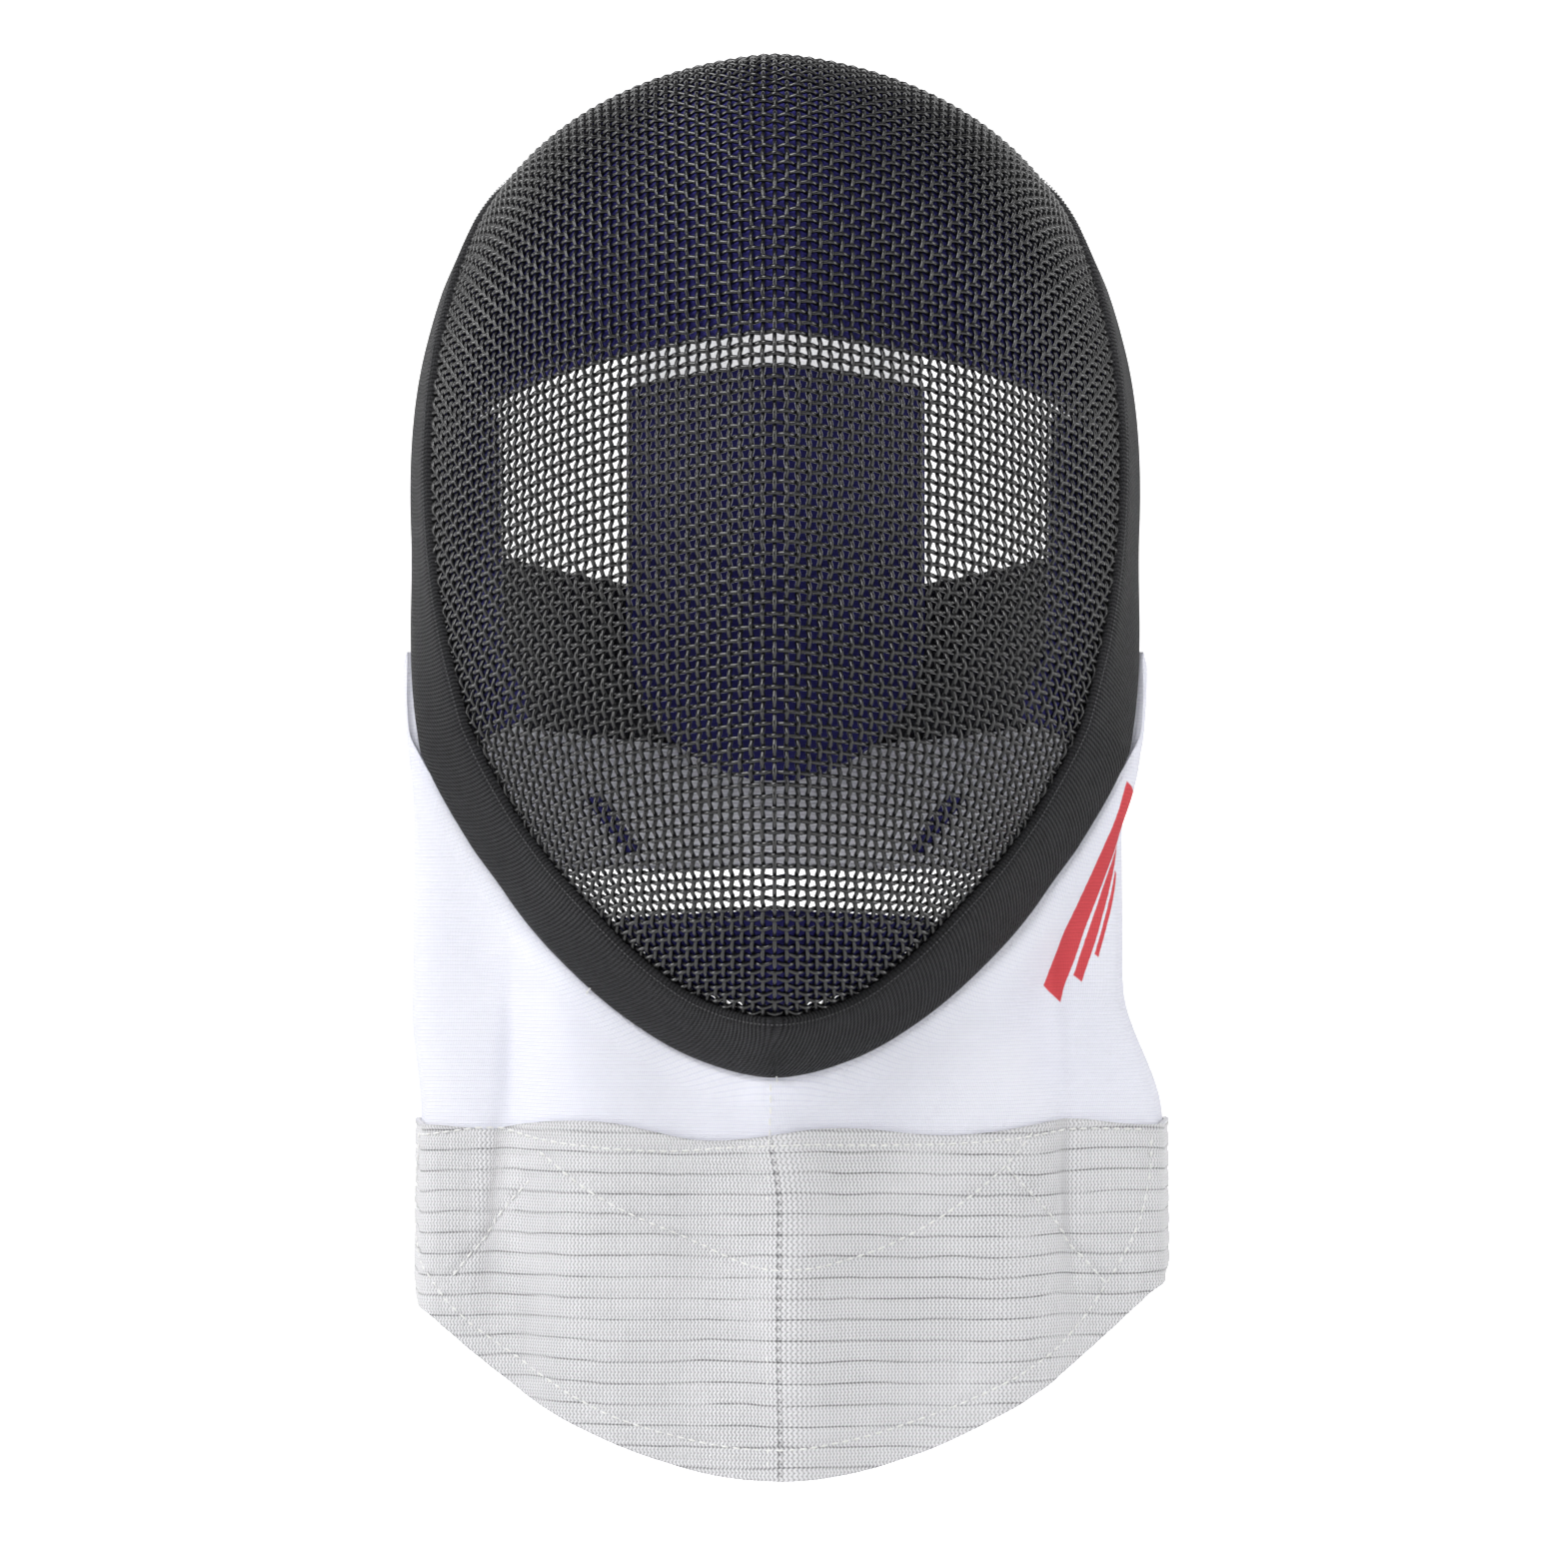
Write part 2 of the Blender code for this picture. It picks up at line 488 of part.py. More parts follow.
s_rim, v_rim = seam(RIM_COUNT)
rim = (s_rim, v_rim, *seam_frame(s_rim, v_rim))
mesh_cage(rim)
edge_binding(rim)
bib_mid = bib()
navy_cloth = material("navy_cloth", (.03, .028, .09), .8)
pads(navy_cloth)
tongue(navy_cloth)
bands(bib_mid)
print("origin in the dome's own frame", ORIGIN)
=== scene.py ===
"""Looks of a fencing mask: woven wires, knit edge band, cloth bib with its conductive panel, padded liner,
tongue and elastic bands, with a camera at the photograph's angle, a white studio and soft light.

The dome is one surface. A walk along its ridge line goes from the foremost point up over the crown or down to
the chin, turning by a table. From each point of it a second walk goes sideways, starting at an angle back
from straight across and turning back evenly, in a plane that sinks; a table gives the three at stations of
the ridge. s is the length of the sideways walk and v the length along the ridge. A warp wire keeps s and a
weft wire keeps v, and both rise and fall about the surface as a cosine of the other length, so that they
pass over and under in turn.
The edge band carries a U-shaped section along the curve where the wires end. The bib hangs from that band:
its rows go straight down from the band's outer edge and lean forward evenly, with two soft folds.
"""
import bpy
import numpy as np
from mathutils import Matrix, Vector


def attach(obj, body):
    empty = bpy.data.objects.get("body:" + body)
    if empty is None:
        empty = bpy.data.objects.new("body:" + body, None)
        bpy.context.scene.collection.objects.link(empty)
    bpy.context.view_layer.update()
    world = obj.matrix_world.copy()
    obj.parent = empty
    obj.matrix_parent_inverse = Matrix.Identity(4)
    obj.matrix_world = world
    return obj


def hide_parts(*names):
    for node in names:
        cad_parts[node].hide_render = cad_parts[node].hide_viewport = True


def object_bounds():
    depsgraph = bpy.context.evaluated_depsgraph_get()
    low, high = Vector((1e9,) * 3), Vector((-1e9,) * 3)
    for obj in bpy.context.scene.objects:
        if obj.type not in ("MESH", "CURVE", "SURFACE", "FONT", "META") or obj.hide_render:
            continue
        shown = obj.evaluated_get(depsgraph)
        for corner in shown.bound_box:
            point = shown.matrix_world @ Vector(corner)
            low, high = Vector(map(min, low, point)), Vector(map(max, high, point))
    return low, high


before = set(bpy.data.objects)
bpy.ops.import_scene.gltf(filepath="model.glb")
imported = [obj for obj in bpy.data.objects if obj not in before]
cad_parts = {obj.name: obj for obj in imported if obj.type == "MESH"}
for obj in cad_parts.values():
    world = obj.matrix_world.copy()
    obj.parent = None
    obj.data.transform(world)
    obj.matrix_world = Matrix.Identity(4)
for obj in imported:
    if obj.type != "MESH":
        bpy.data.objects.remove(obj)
cad_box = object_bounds()

# Sizes, in metres and degrees
RIDGE_UP, RIDGE_DOWN, SIDE_REACH = .253, .109, .136
RIDGE_SOFT, MESH_THICK, GAP = .0025, .002, .00035
BAND_WIDTH, KNIT_THICK, LIP_START = .021, .0016, .0015
FLARE_CHIN, FLARE_SIDE = 22.0, -5.0
BIB_HANG, BIB_LEAN, BIB_HEM_CURVE, BIB_TILT, BIB_CORNER, BIB_SIDE_HEM = .2165, .11, 4.8, .034, .001, .160
BIB_TOP, WING_REACH, PANEL_TOP, FOLD_DEPTH = .13, .026, .125, .003
BIB_SWAY, BIB_PULL, BIB_TRIM, BIB_WAIST, BIB_FLARE = .0045, .002, .02, .052, .04
PAD_THICK, PAD_SOFT, BROW, SIDE_INNER, CHIN_TOP = .008, .016, .342, .76, .668
# How far the pads' hems reach over the band's inner lip, and how far they stand off the mesh there
PAD_OVER, PAD_LIFT = .006, .0017
TAPE_TOP, TAPE_END, TAPE_ACROSS, TAPE_WIDTH = .29, .46, .47, .005
TONGUE_WIDTH, TONGUE_THICK, TONGUE_TOP, TONGUE_END, TONGUE_BACK = .084, .012, .086, .033, .198
SLEEVE_THICK, SLEEVE_SEAT = .003, .90
STRAP_WIDTH, STRAP_THICK, STRAP_LEVEL, STRAP_RISE, STRAP_SPLAY = .044, .0018, -.0012, .0085, .004
NECK_END, TAB_REACH = .0585, .012
WIRE, PITCH, WIRE_TUCK = .00125, .0031, .0028
# Stations of the seam that wires and pads are measured by, and those of one half
RIM_COUNT, RIM_HALF = 600, 301
RIDGE_TURN_UP = ((0, 0), (.395, 25.5), (.613, 47), (.731, 68), (.81, 88), (1.0, 98))
RIDGE_TURN_DOWN = ((0, 0), (.11, 1), (1.0, 58), (1.2, 66))
# Share of the ridge below or above the foremost point, first angle, turn over SIDE_REACH, sink
STATIONS = ((-1.2, 37, 60, 0), (-1.0, 35, 60, 1), (-.71, 31, 59, 3), (-.40, 27, 58, 8), (-.25, 25.3, 55, 11),
            (0, 23.7, 48, 13), (.24, 23.3, 45, 14), (.455, 20, 51, 15), (.553, 17.5, 58, 17),
            (.652, 14, 67, 23), (.79, 9, 77, 37), (.93, 5, 83, 48), (1.07, 2, 85, 53))
# Where the wires end: share of the ridge, share of SIDE_REACH
SEAM = ((-1.0, 0), (-.93, .165), (-.80, .30), (-.62, .46), (-.40, .645), (-.15, .775), (.05, .875),
        (.16, .95), (.30, .99), (.42, .965), (.55, .90), (.68, .80), (.80, .655), (.90, .46), (.97, .24),
        (1.0, 0))
# Rows of stitches: spacing, length and radius, and how far in from a pad's edge they run
BAND_STITCH, PANEL_STITCH = (.00113, .00075, .00026), (.0030, .0022, .00034)
PAD_STITCH, SLEEVE_STITCH, TAB_STITCH = (.0034, .0024, .00025), (.0032, .0022, .00025), (.0027, .0018, .00025)
HEM_INSET = .003
# Threads of the woven cloths and cords of the elastic
THREAD, CORD = .0006, .0011
# Ripples of the bib: turns across and down, shift, share of the height
RIPPLES, RIPPLE_HIGH = ((130, 90, 0, .5), (71, -55, 1.4, .7), (210, 90, 0, .25)), .0006
# Red bars of the bib: place across, half width, upper and lower end
RED_BARS = ((0, .0046, -.036, -.090), (.0078, .0017, -.044, -.082), (.0116, .0008, -.052, -.074))
# Where the bars sit: a row of a coarse bib and a place across it, a step aside, the level and the slant
BARS_ROW, BARS_ACROSS, BARS_ASIDE, BARS_LEVEL, BARS_SLANT = 24, .079, .005, -.063, .42
# The photograph's width and the camera's focal length in pixels, and its place from the foremost point
PHOTO_WIDTH, FOCAL_PIXELS, CAMERA_PLACE = 1569, 5910, (.0024, -1.5, -.034)
# Area lights: name, place, width and height, watts
LIGHTS = (("key", (-.55, -1.75, 1.15), (.75, .8), 20.5), ("fill", (1.0, -2.0, .25), (1.0, 1.6), 6),
          ("top", (-.25, -.75, 1.5), (.7, .7), 9), ("strip_left", (-1.8, -.40, .15), (.45, 1.6), 17),
          ("strip_right", (1.8, -.40, .15), (.45, 1.6), 12))
LIGHT_AIM, WORLD_LIGHT = (0, -.03, -.15), .12


def smooth_table(x, xs, ys):
    """A smooth curve through the stations."""
    xs, ys = np.asarray(xs, float), np.asarray(ys, float)
    slope = np.gradient(ys, xs)
    x = np.clip(x, xs[0], xs[-1])
    k = np.clip(np.searchsorted(xs, x) - 1, 0, len(xs) - 2)
    h = xs[k + 1] - xs[k]
    t = (x - xs[k]) / h
    return ((2 * t ** 3 - 3 * t ** 2 + 1) * ys[k] + (t ** 3 - 2 * t ** 2 + t) * h * slope[k]
            + (3 * t ** 2 - 2 * t ** 3) * ys[k + 1] + (t ** 3 - t ** 2) * h * slope[k + 1])


def ease(x):
    x = np.clip(x, 0, 1)
    return x * x * (3 - 2 * x)


def unit(v):
    return v / np.maximum(np.linalg.norm(v, axis=-1, keepdims=True), 1e-12)


def run_along(points):
    """Length run at each point of a line."""
    return np.concatenate([[0], np.cumsum(np.linalg.norm(np.diff(points, axis=0), axis=1))])


def between(x, xs, rows):
    """Rows of a table at places between its stations."""
    return np.stack([np.interp(x, xs, column) for column in rows.T], -1)


def ridge_walk(length, table, reach, sign):
    """Depth and level along the ridge, walking from the foremost point."""
    t = np.linspace(0, length * reach, 700)
    turn = np.radians(smooth_table(t / length, *np.array(table).T))
    step = t[1] - t[0]
    y = np.concatenate([[0], np.cumsum((np.sin(turn[1:]) + np.sin(turn[:-1])) * step / 2)])
    z = np.concatenate([[0], np.cumsum((np.cos(turn[1:]) + np.cos(turn[:-1])) * step / 2)])
    return sign * t, y, sign * z


up, down = ridge_walk(RIDGE_UP, RIDGE_TURN_UP, 1.06, 1), ridge_walk(RIDGE_DOWN, RIDGE_TURN_DOWN, 1.2, -1)
RIDGE_LINE = [np.concatenate([d[::-1], u[1:]]) for d, u in zip(down, up)]
STATION = np.array(STATIONS, float).T


def along(share):
    share = np.asarray(share, float)
    return share * np.where(share < 0, RIDGE_DOWN, RIDGE_UP)


def dome(s, v, soft=RIDGE_SOFT, steps=40):
    """Points of the dome: s is the length across, minus on the left, and v the length along the ridge."""
    s, v = np.broadcast_arrays(np.asarray(s, float), np.asarray(v, float))
    share = v / np.where(v < 0, RIDGE_DOWN, RIDGE_UP)
    start, turn, sink = (smooth_table(share, STATION[0], STATION[k]) for k in (1, 2, 3))
    x, back, fall = np.zeros(s.shape), np.zeros(s.shape), np.zeros(s.shape)
    for k in range(steps + 1):
        walk = np.abs(s) * (k / steps)
        angle = start * (1 - np.exp(-walk / soft)) + turn * walk / SIDE_REACH
        angle = np.radians(np.minimum(angle, 90))
        low = np.radians(sink * (.8 + .5 * walk / SIDE_REACH))
        share = (.5 if k in (0, steps) else 1.0) / steps * np.abs(s)
        x += np.cos(angle) * share
        back += np.sin(angle) * np.cos(low) * share
        fall += np.sin(angle) * np.sin(low) * share
    y = np.interp(v, RIDGE_LINE[0], RIDGE_LINE[1]) + back
    z = np.interp(v, RIDGE_LINE[0], RIDGE_LINE[2]) - fall
    return np.stack([x * np.sign(s), y, z], -1)


def dome_normal(s, v, soft=RIDGE_SOFT):
    e = 0.0006
    across = dome(s + e, v, soft) - dome(s - e, v, soft)
    up_ = dome(s, v + e, soft) - dome(s, v - e, soft)
    return unit(np.cross(across, up_))


def seam(count):
    """The curve where the wires end, as evenly spaced stations of s and v; the first is at the chin."""
    share_v, share_s = np.array(SEAM, float).T
    v, s = along(share_v), share_s * SIDE_REACH
    v = np.concatenate([v[3:0:-1], v, v[-2:-5:-1]])
    s = np.concatenate([-s[3:0:-1], s, -s[-2:-5:-1]])
    run = run_along(dome(s, v))
    run -= run[3]
    dense = np.linspace(0, run[-4], 600)
    s, v = smooth_table(dense, run, s), smooth_table(dense, run, v)
    run = run_along(dome(s, v))
    half = np.linspace(0, run[-1], count // 2 + 1)
    s, v = np.interp(half, run, s), np.interp(half, run, v)
    s[0] = s[-1] = 0
    return np.concatenate([s, -s[-2:0:-1]]), np.concatenate([v, v[-2:0:-1]])


def seam_frame(s, v):
    """Points of the seam, the direction out of the dome that the band takes, and the band's own normal."""
    p, n = dome(s, v), dome_normal(s, v)
    t = unit(np.roll(p, -1, 0) - np.roll(p, 1, 0))
    out = unit(np.cross(t, n))
    n = unit(np.cross(out, t))
    flare = FLARE_SIDE + (FLARE_CHIN - FLARE_SIDE) * ease((.26 - v / RIDGE_UP) / .30)
    a = np.radians(flare)[:, None]
    return p, np.cos(a) * out + np.sin(a) * n, np.cos(a) * n - np.sin(a) * out, n


def pad_points(s, v):
    """Middle surface of a pad lying against the inside of the mesh."""
    n = dome_normal(s, v, PAD_SOFT)
    return dome(s, v) - n * (MESH_THICK / 2 + GAP + .0004 + PAD_THICK / 2), n


seat_mid, seat_n = pad_points(np.array(0.0), np.array(RIDGE_UP * .86))
ORIGIN = seat_mid - seat_n * PAD_THICK / 2


def grid_faces(rows, cols, first=0, closed=False):
    """Quads between the points of a grid stored row by row; closed joins the last column to the first."""
    a = np.arange(rows - 1)[:, None] * cols
    b = np.arange(cols if closed else cols - 1)[None]
    c = (b + 1) % cols
    return (np.stack([a + b, a + c, a + cols + c, a + cols + b], -1) + first).reshape(-1, 4)


def grid_normal(grid):
    """Normals of a grid of points, rows running downwards and columns to the right: they point forwards."""
    down_, right = np.gradient(grid, axis=0), np.gradient(grid, axis=1)
    return unit(np.cross(down_, right))


def piece(name, verts, faces, mat, replaces=(), uv=None):
    """One smooth mesh object in the part's frame, riding with the mask, its faces turned outwards."""
    verts, faces = np.asarray(verts, float).reshape(-1, 3) - ORIGIN, np.asarray(faces)
    a, b, c, d = (verts[faces[:, k]] for k in range(4))
    if (np.cross(a, b) * c).sum() + (np.cross(a, c) * d).sum() < 0:
        faces = faces[:, ::-1]
    me = bpy.data.meshes.new(name)
    me.vertices.add(len(verts))
    me.vertices.foreach_set("co", verts.ravel())
    me.loops.add(faces.size)
    me.loops.foreach_set("vertex_index", faces.ravel())
    me.polygons.add(len(faces))
    me.polygons.foreach_set("loop_start", np.arange(len(faces)) * faces.shape[1])
    me.polygons.foreach_set("use_smooth", np.ones(len(faces), bool))
    me.update(calc_edges=True)
    me.validate()
    if uv is not None:
        layer = me.uv_layers.new(name="UVMap")
        layer.data.foreach_set("uv", np.asarray(uv, float).reshape(-1, 2)[faces].ravel())
    me.materials.append(mat)
    ob = bpy.data.objects.new(name, me)
    bpy.context.scene.collection.objects.link(ob)
    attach(ob, "root")
    if replaces:
        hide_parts(*replaces)
    return ob


def slab(name, outer, inner, mat, replaces=(), uv=None):
    """A sheet between two grids of points, closed round its edges. uv is given for each point of the grid."""
    rows, cols = outer.shape[:2]
    n = rows * cols
    idx = np.arange(n).reshape(rows, cols)
    loop = np.concatenate([idx[0], idx[1:, -1], idx[-1, -2::-1], idx[-2:0:-1, 0]])
    nxt = np.roll(loop, -1)
    faces = np.concatenate([grid_faces(rows, cols), grid_faces(rows, cols, n)[:, ::-1],
                            np.stack([nxt, nxt + n, loop + n, loop], 1)])
    if uv is not None:
        uv = np.concatenate([np.reshape(uv, (-1, 2))] * 2)
    verts = np.concatenate([outer.reshape(-1, 3), inner.reshape(-1, 3)])
    return piece(name, verts, faces, mat, replaces, uv)


def wire_tube(path, normal, radius, sides=6):
    """A tube round a path, its rings set square to the way of the path."""
    t = unit(np.gradient(path, axis=0))
    b = unit(np.cross(t, normal))
    n = np.cross(b, t)
    a = np.arange(sides) / sides * 2 * np.pi
    ring = radius * (np.cos(a)[None, :, None] * n[:, None] + np.sin(a)[None, :, None] * b[:, None])
    return path[:, None] + ring


def wires(name, warp, numbers, mat, replaces=()):
    """Wires that keep s (warp) or v (weft), each passing over and under the others by turns."""
    s_rim, v_rim = (x[:RIM_HALF] for x in seam(RIM_COUNT))
    t = unit(np.stack([np.gradient(s_rim), np.gradient(v_rim)], -1))
    # The wires run on under the edge band
    rim_s, rim_v = s_rim + t[:, 1] * WIRE_TUCK, v_rim - t[:, 0] * WIRE_TUCK
    widest = int(np.argmax(rim_s))
    verts, faces, shade, first = [], [], [], 0
    # Points from one crossing to the next
    per = 3
    for k in numbers:
        at = k * PITCH
        if warp:
            if abs(at) > rim_s[widest] - .0006:
                continue
            lo = np.interp(abs(at), rim_s[:widest + 1], rim_v[:widest + 1])
            hi = np.interp(abs(at), rim_s[:widest - 1:-1], rim_v[:widest - 1:-1])
        else:
            if not rim_v[0] + .0006 < at < rim_v[-1] - .0006:
                continue
            hi = float(np.interp(at, rim_v, rim_s))
            lo = -hi
        run = np.arange(np.ceil(lo / PITCH * per), np.floor(hi / PITCH * per) + 1) / per * PITCH
        if len(run) < 3:
            continue
        s, v = (np.full(len(run), at), run) if warp else (run, np.full(len(run), at))
        n = dome_normal(s, v)
        over = 1 if (k % 2 == 0) == warp else -1
        crimp = over * (WIRE / 2 - .00004) * np.cos(np.pi * run / PITCH)
        path = dome(s, v) + n * crimp[:, None]
        ring = wire_tube(path, n, WIRE / 2)
        verts.append(ring.reshape(-1, 3))
        faces.append(grid_faces(len(run), 6, first, True))
        shade.append(np.stack([np.repeat(run, 6), np.full(len(run) * 6, k * .13)], -1))
        first += len(run) * 6
    piece(name, np.concatenate(verts), np.concatenate(faces), mat, replaces,
          uv=np.concatenate(shade))


def maths(tree, op, a, b=None, c=None):
    """One arithmetic node on numbers or sockets."""
    n = tree.nodes.new("ShaderNodeMath")
    n.operation = op
    for k, x in enumerate((a, b, c)):
        if isinstance(x, (int, float)):
            n.inputs[k].default_value = x
        elif x is not None:
            tree.links.new(x, n.inputs[k])
    return n.outputs[0]


def add(tree, *parts):
    """Weighted sum of (weight, socket) pairs."""
    total = maths(tree, "MULTIPLY", parts[0][1], parts[0][0])
    for w, x in parts[1:]:
        total = maths(tree, "MULTIPLY_ADD", x, w, total)
    return total


def mix(tree, factor, a, b):
    """Colour between two colours."""
    n = tree.nodes.new("ShaderNodeMix")
    n.data_type = "RGBA"
    for key, x in ((0, factor), (6, a), (7, b)):
        if isinstance(x, tuple):
            n.inputs[key].default_value = (*x, 1)
        elif isinstance(x, (int, float)):
            n.inputs[key].default_value = x
        else:
            tree.links.new(x, n.inputs[key])
    return n.outputs[2]


def uv_parts(tree):
    """The two lengths, in metres, that each piece carries as its UV."""
    uvn = tree.nodes.new("ShaderNodeUVMap")
    uvn.uv_map = "UVMap"
    sep = tree.nodes.new("ShaderNodeSeparateXYZ")
    tree.links.new(uvn.outputs[0], sep.inputs[0])
    return sep.outputs[0], sep.outputs[1]


def noise(tree, scale, detail=3.0, rough=.5):
    """Noise in the object's own coordinates; scale is a number or a socket."""
    n = tree.nodes.new("ShaderNodeTexNoise")
    if isinstance(scale, (int, float)):
        n.inputs["Scale"].default_value = scale
    else:
        tree.links.new(scale, n.inputs["Scale"])
    n.inputs["Detail"].default_value = detail
    n.inputs["Roughness"].default_value = rough
    tree.links.new(tree.nodes.new("ShaderNodeTexCoord").outputs["Object"], n.inputs["Vector"])
    return n.outputs["Fac"]


def ramp(tree, x, lo, hi, to_lo=0.0, to_hi=1.0):
    """x stretched so that lo becomes to_lo and hi to_hi, held between them."""
    n = tree.nodes.new("ShaderNodeMapRange")
    for key, value in (("From Min", lo), ("From Max", hi), ("To Min", to_lo), ("To Max", to_hi)):
        n.inputs[key].default_value = value
    tree.links.new(x, n.inputs["Value"])
    return n.outputs[0]


def wave(tree, x, period, shift=0.0):
    """Rounded ridges, one to each period, from 0 in the grooves to 1 on top."""
    turned = maths(tree, "MULTIPLY_ADD", x, np.pi / period, shift)
    return maths(tree, "ABSOLUTE", maths(tree, "SINE", turned))


def group(name, inputs):
    """A node group with named number inputs that gives a Tone and a Height."""
    tree = bpy.data.node_groups.new(name, "ShaderNodeTree")
    for word in inputs:
        tree.interface.new_socket(name=word, in_out="INPUT", socket_type="NodeSocketFloat")
    for word in ("Tone", "Height"):
        tree.interface.new_socket(name=word, in_out="OUTPUT", socket_type="NodeSocketFloat")
    return tree, tree.nodes.new("NodeGroupInput").outputs, tree.nodes.new("NodeGroupOutput").inputs


def use_group(tree, name, **inputs):
    """Places a node group in a material, its inputs set to numbers or joined to sockets."""
    n = tree.nodes.new("ShaderNodeGroup")
    n.node_tree = bpy.data.node_groups[name]
    for word, x in inputs.items():
        if isinstance(x, float):
            n.inputs[word].default_value = x
        else:
            tree.links.new(x, n.inputs[word])
    return n.outputs["Tone"], n.outputs["Height"]


def weave_group():
    """Plain weave: warp and weft threads stand up by turns."""
    g, given, made = group("plain_weave", ("Across", "Along", "Thread"))
    u, v = (maths(g, "DIVIDE", given[word], given["Thread"]) for word in ("Across", "Along"))
    weave = maths(g, "MULTIPLY", wave(g, u, 1.0), wave(g, v, .8))
    rows = wave(g, v, 1.6)
    g.links.new(add(g, (.45, noise(g, 26, 4)), (.35, weave), (.2, rows)), made["Tone"])
    g.links.new(add(g, (.6, weave), (.4, rows), (.4, noise(g, 1800, 2))), made["Height"])


def rib_group():
    """Fine ribs that slant across a band, bowed a little, each made of small stitches, with painted shade
    darkening the tone towards the rim, where the band rolls under.
    """
    g, given, made = group("slanted_ribs", ("Along", "Across", "Rib"))
    u, v = given["Along"], given["Across"]
    mid = maths(g, "ADD", v, -.0125)
    bowed = maths(g, "MULTIPLY_ADD", maths(g, "MULTIPLY", mid, mid), 24.0, maths(g, "MULTIPLY_ADD", v, .5, u))
    ribs = wave(g, maths(g, "DIVIDE", bowed, given["Rib"]), 1.0)
    stitch = wave(g, maths(g, "DIVIDE", maths(g, "MULTIPLY_ADD", u, .4, v), given["Rib"]), .62)
    high = add(g, (.75, ribs), (.25, stitch))
    # Painted shade: the tone is darkened near the band's outer rim, where the band curls under
    rim_shade = ramp(g, maths(g, "ABSOLUTE", maths(g, "ADD", v, -.0235)), .001, .007, -.28, 0)
    g.links.new(add(g, (.85, high), (.5, noise(g, 260, 3)), (1, rim_shade)), made["Tone"])
    g.links.new(add(g, (1, high), (.3, noise(g, 2200, 2))), made["Height"])


def cord_group():
    """Woven elastic: cords run along it under fine threads across."""
    g, given, made = group("elastic_cords", ("Along", "Across", "Cord"))
    u, v = (maths(g, "DIVIDE", given[word], given["Cord"]) for word in ("Along", "Across"))
    high = add(g, (.7, wave(g, v, 1.0)), (.3, wave(g, u, .5)))
    g.links.new(add(g, (.8, high), (.5, noise(g, 90, 3))), made["Tone"])
    g.links.new(add(g, (1, high), (.3, noise(g, 2000, 2))), made["Height"])


def fibre_group():
    """Fibres of a sewing thread, with a fuzz that is finer than the change of tone."""
    g, given, made = group("thread_fibres", ("Scale",))
    g.links.new(noise(g, given["Scale"], 2), made["Tone"])
    g.links.new(noise(g, maths(g, "MULTIPLY", given["Scale"], 7 / 3), 2), made["Height"])


def bump(tree, bsdf, height, strength, distance):
    n = tree.nodes.new("ShaderNodeBump")
    n.inputs["Strength"].default_value = strength
    n.inputs["Distance"].default_value = distance
    tree.links.new(height, n.inputs["Height"])
    tree.links.new(n.outputs[0], bsdf.inputs["Normal"])


def surface(name, colour, rough, metal=0.0, sheen=0.0, spec=.5):
    m = bpy.data.materials.new(name)
    m.use_nodes = True
    b = m.node_tree.nodes["Principled BSDF"]
    b.inputs["Base Color"].default_value = (*colour, 1)
    b.inputs["Roughness"].default_value = rough
    b.inputs["Metallic"].default_value = metal
    b.inputs["Sheen Weight"].default_value = sheen
    b.inputs["Specular IOR Level"].default_value = spec
    return m, b, m.node_tree


def wire_material():
    """Black satin coating, rubbed a little brighter in places."""
    m, b, t = surface("wire_coating", (.006, .006, .007), .2, 0, 0, .85)
    worn = ramp(t, noise(t, 900, 2), .35, .7)
    t.links.new(mix(t, worn, (.004, .004, .0045), (.011, .011, .012)), b.inputs["Base Color"])
    t.links.new(ramp(t, noise(t, 2600, 2), .3, .7, .16, .26), b.inputs["Roughness"])
    return m


def red_bars(t, u, v, where):
    """Mask of the slanted red bars. where is a place on the cloth and the slant."""
    u0, v0, slant = where
    off = maths(t, "SUBTRACT", maths(t, "MULTIPLY_ADD", v, -slant, u), u0 - slant * v0)
    off = maths(t, "ADD", off, maths(t, "MULTIPLY_ADD", noise(t, 700, 2), .0004, -.0002))
    cut = maths(t, "MULTIPLY_ADD", off, .5, v)
    bars = 0.0
    for across, half, top, low in RED_BARS:
        beside = maths(t, "ABSOLUTE", maths(t, "SUBTRACT", off, across))
        ends = ramp(t, cut, top, top + .0003, 1, 0), ramp(t, cut, low, low - .0003, 1, 0)
        bar = maths(t, "MULTIPLY", ramp(t, beside, half, half + .0002, 1, 0), maths(t, "MULTIPLY", *ends))
        bars = maths(t, "MAXIMUM", bar, bars)
    return bars


def cloth_material(name, colour, shade, depth=.5, sheen=.05, stripes=None, glow=0):
    """Plain woven cloth. stripes is the place and slant of its red bars; glow lets light through it."""
    m, b, t = surface(name, colour, .85, 0.0, sheen, .15)
    if glow:
        b.inputs["Subsurface Weight"].default_value = glow
        b.inputs["Subsurface Radius"].default_value = (1, 1, 1)
        b.inputs["Subsurface Scale"].default_value = .02
    u, v = uv_parts(t)
    tone, height = use_group(t, "plain_weave", Across=u, Along=v, Thread=THREAD)
    lit = ramp(t, tone, .2, .7)
    out = mix(t, lit, shade, colour)
    if stripes:
        out = mix(t, red_bars(t, u, v, stripes), out, mix(t, lit, (.60, .068, .08), (.76, .092, .108)))
    t.links.new(out, b.inputs["Base Color"])
    bump(t, b, height, depth, THREAD * .4)
    return m


def knit_material(name, colour, shade, rib=.0012):
    """Ribbed knit. u runs along the band, v across."""
    m, b, t = surface(name, colour, .7, 0.0, .08, .25)
    u, v = uv_parts(t)
    tone, height = use_group(t, "slanted_ribs", Along=u, Across=v, Rib=rib)
    t.links.new(mix(t, ramp(t, tone, .35, 1.0), shade, colour), b.inputs["Base Color"])
    bump(t, b, height, 1.0, rib * .8)
    return m


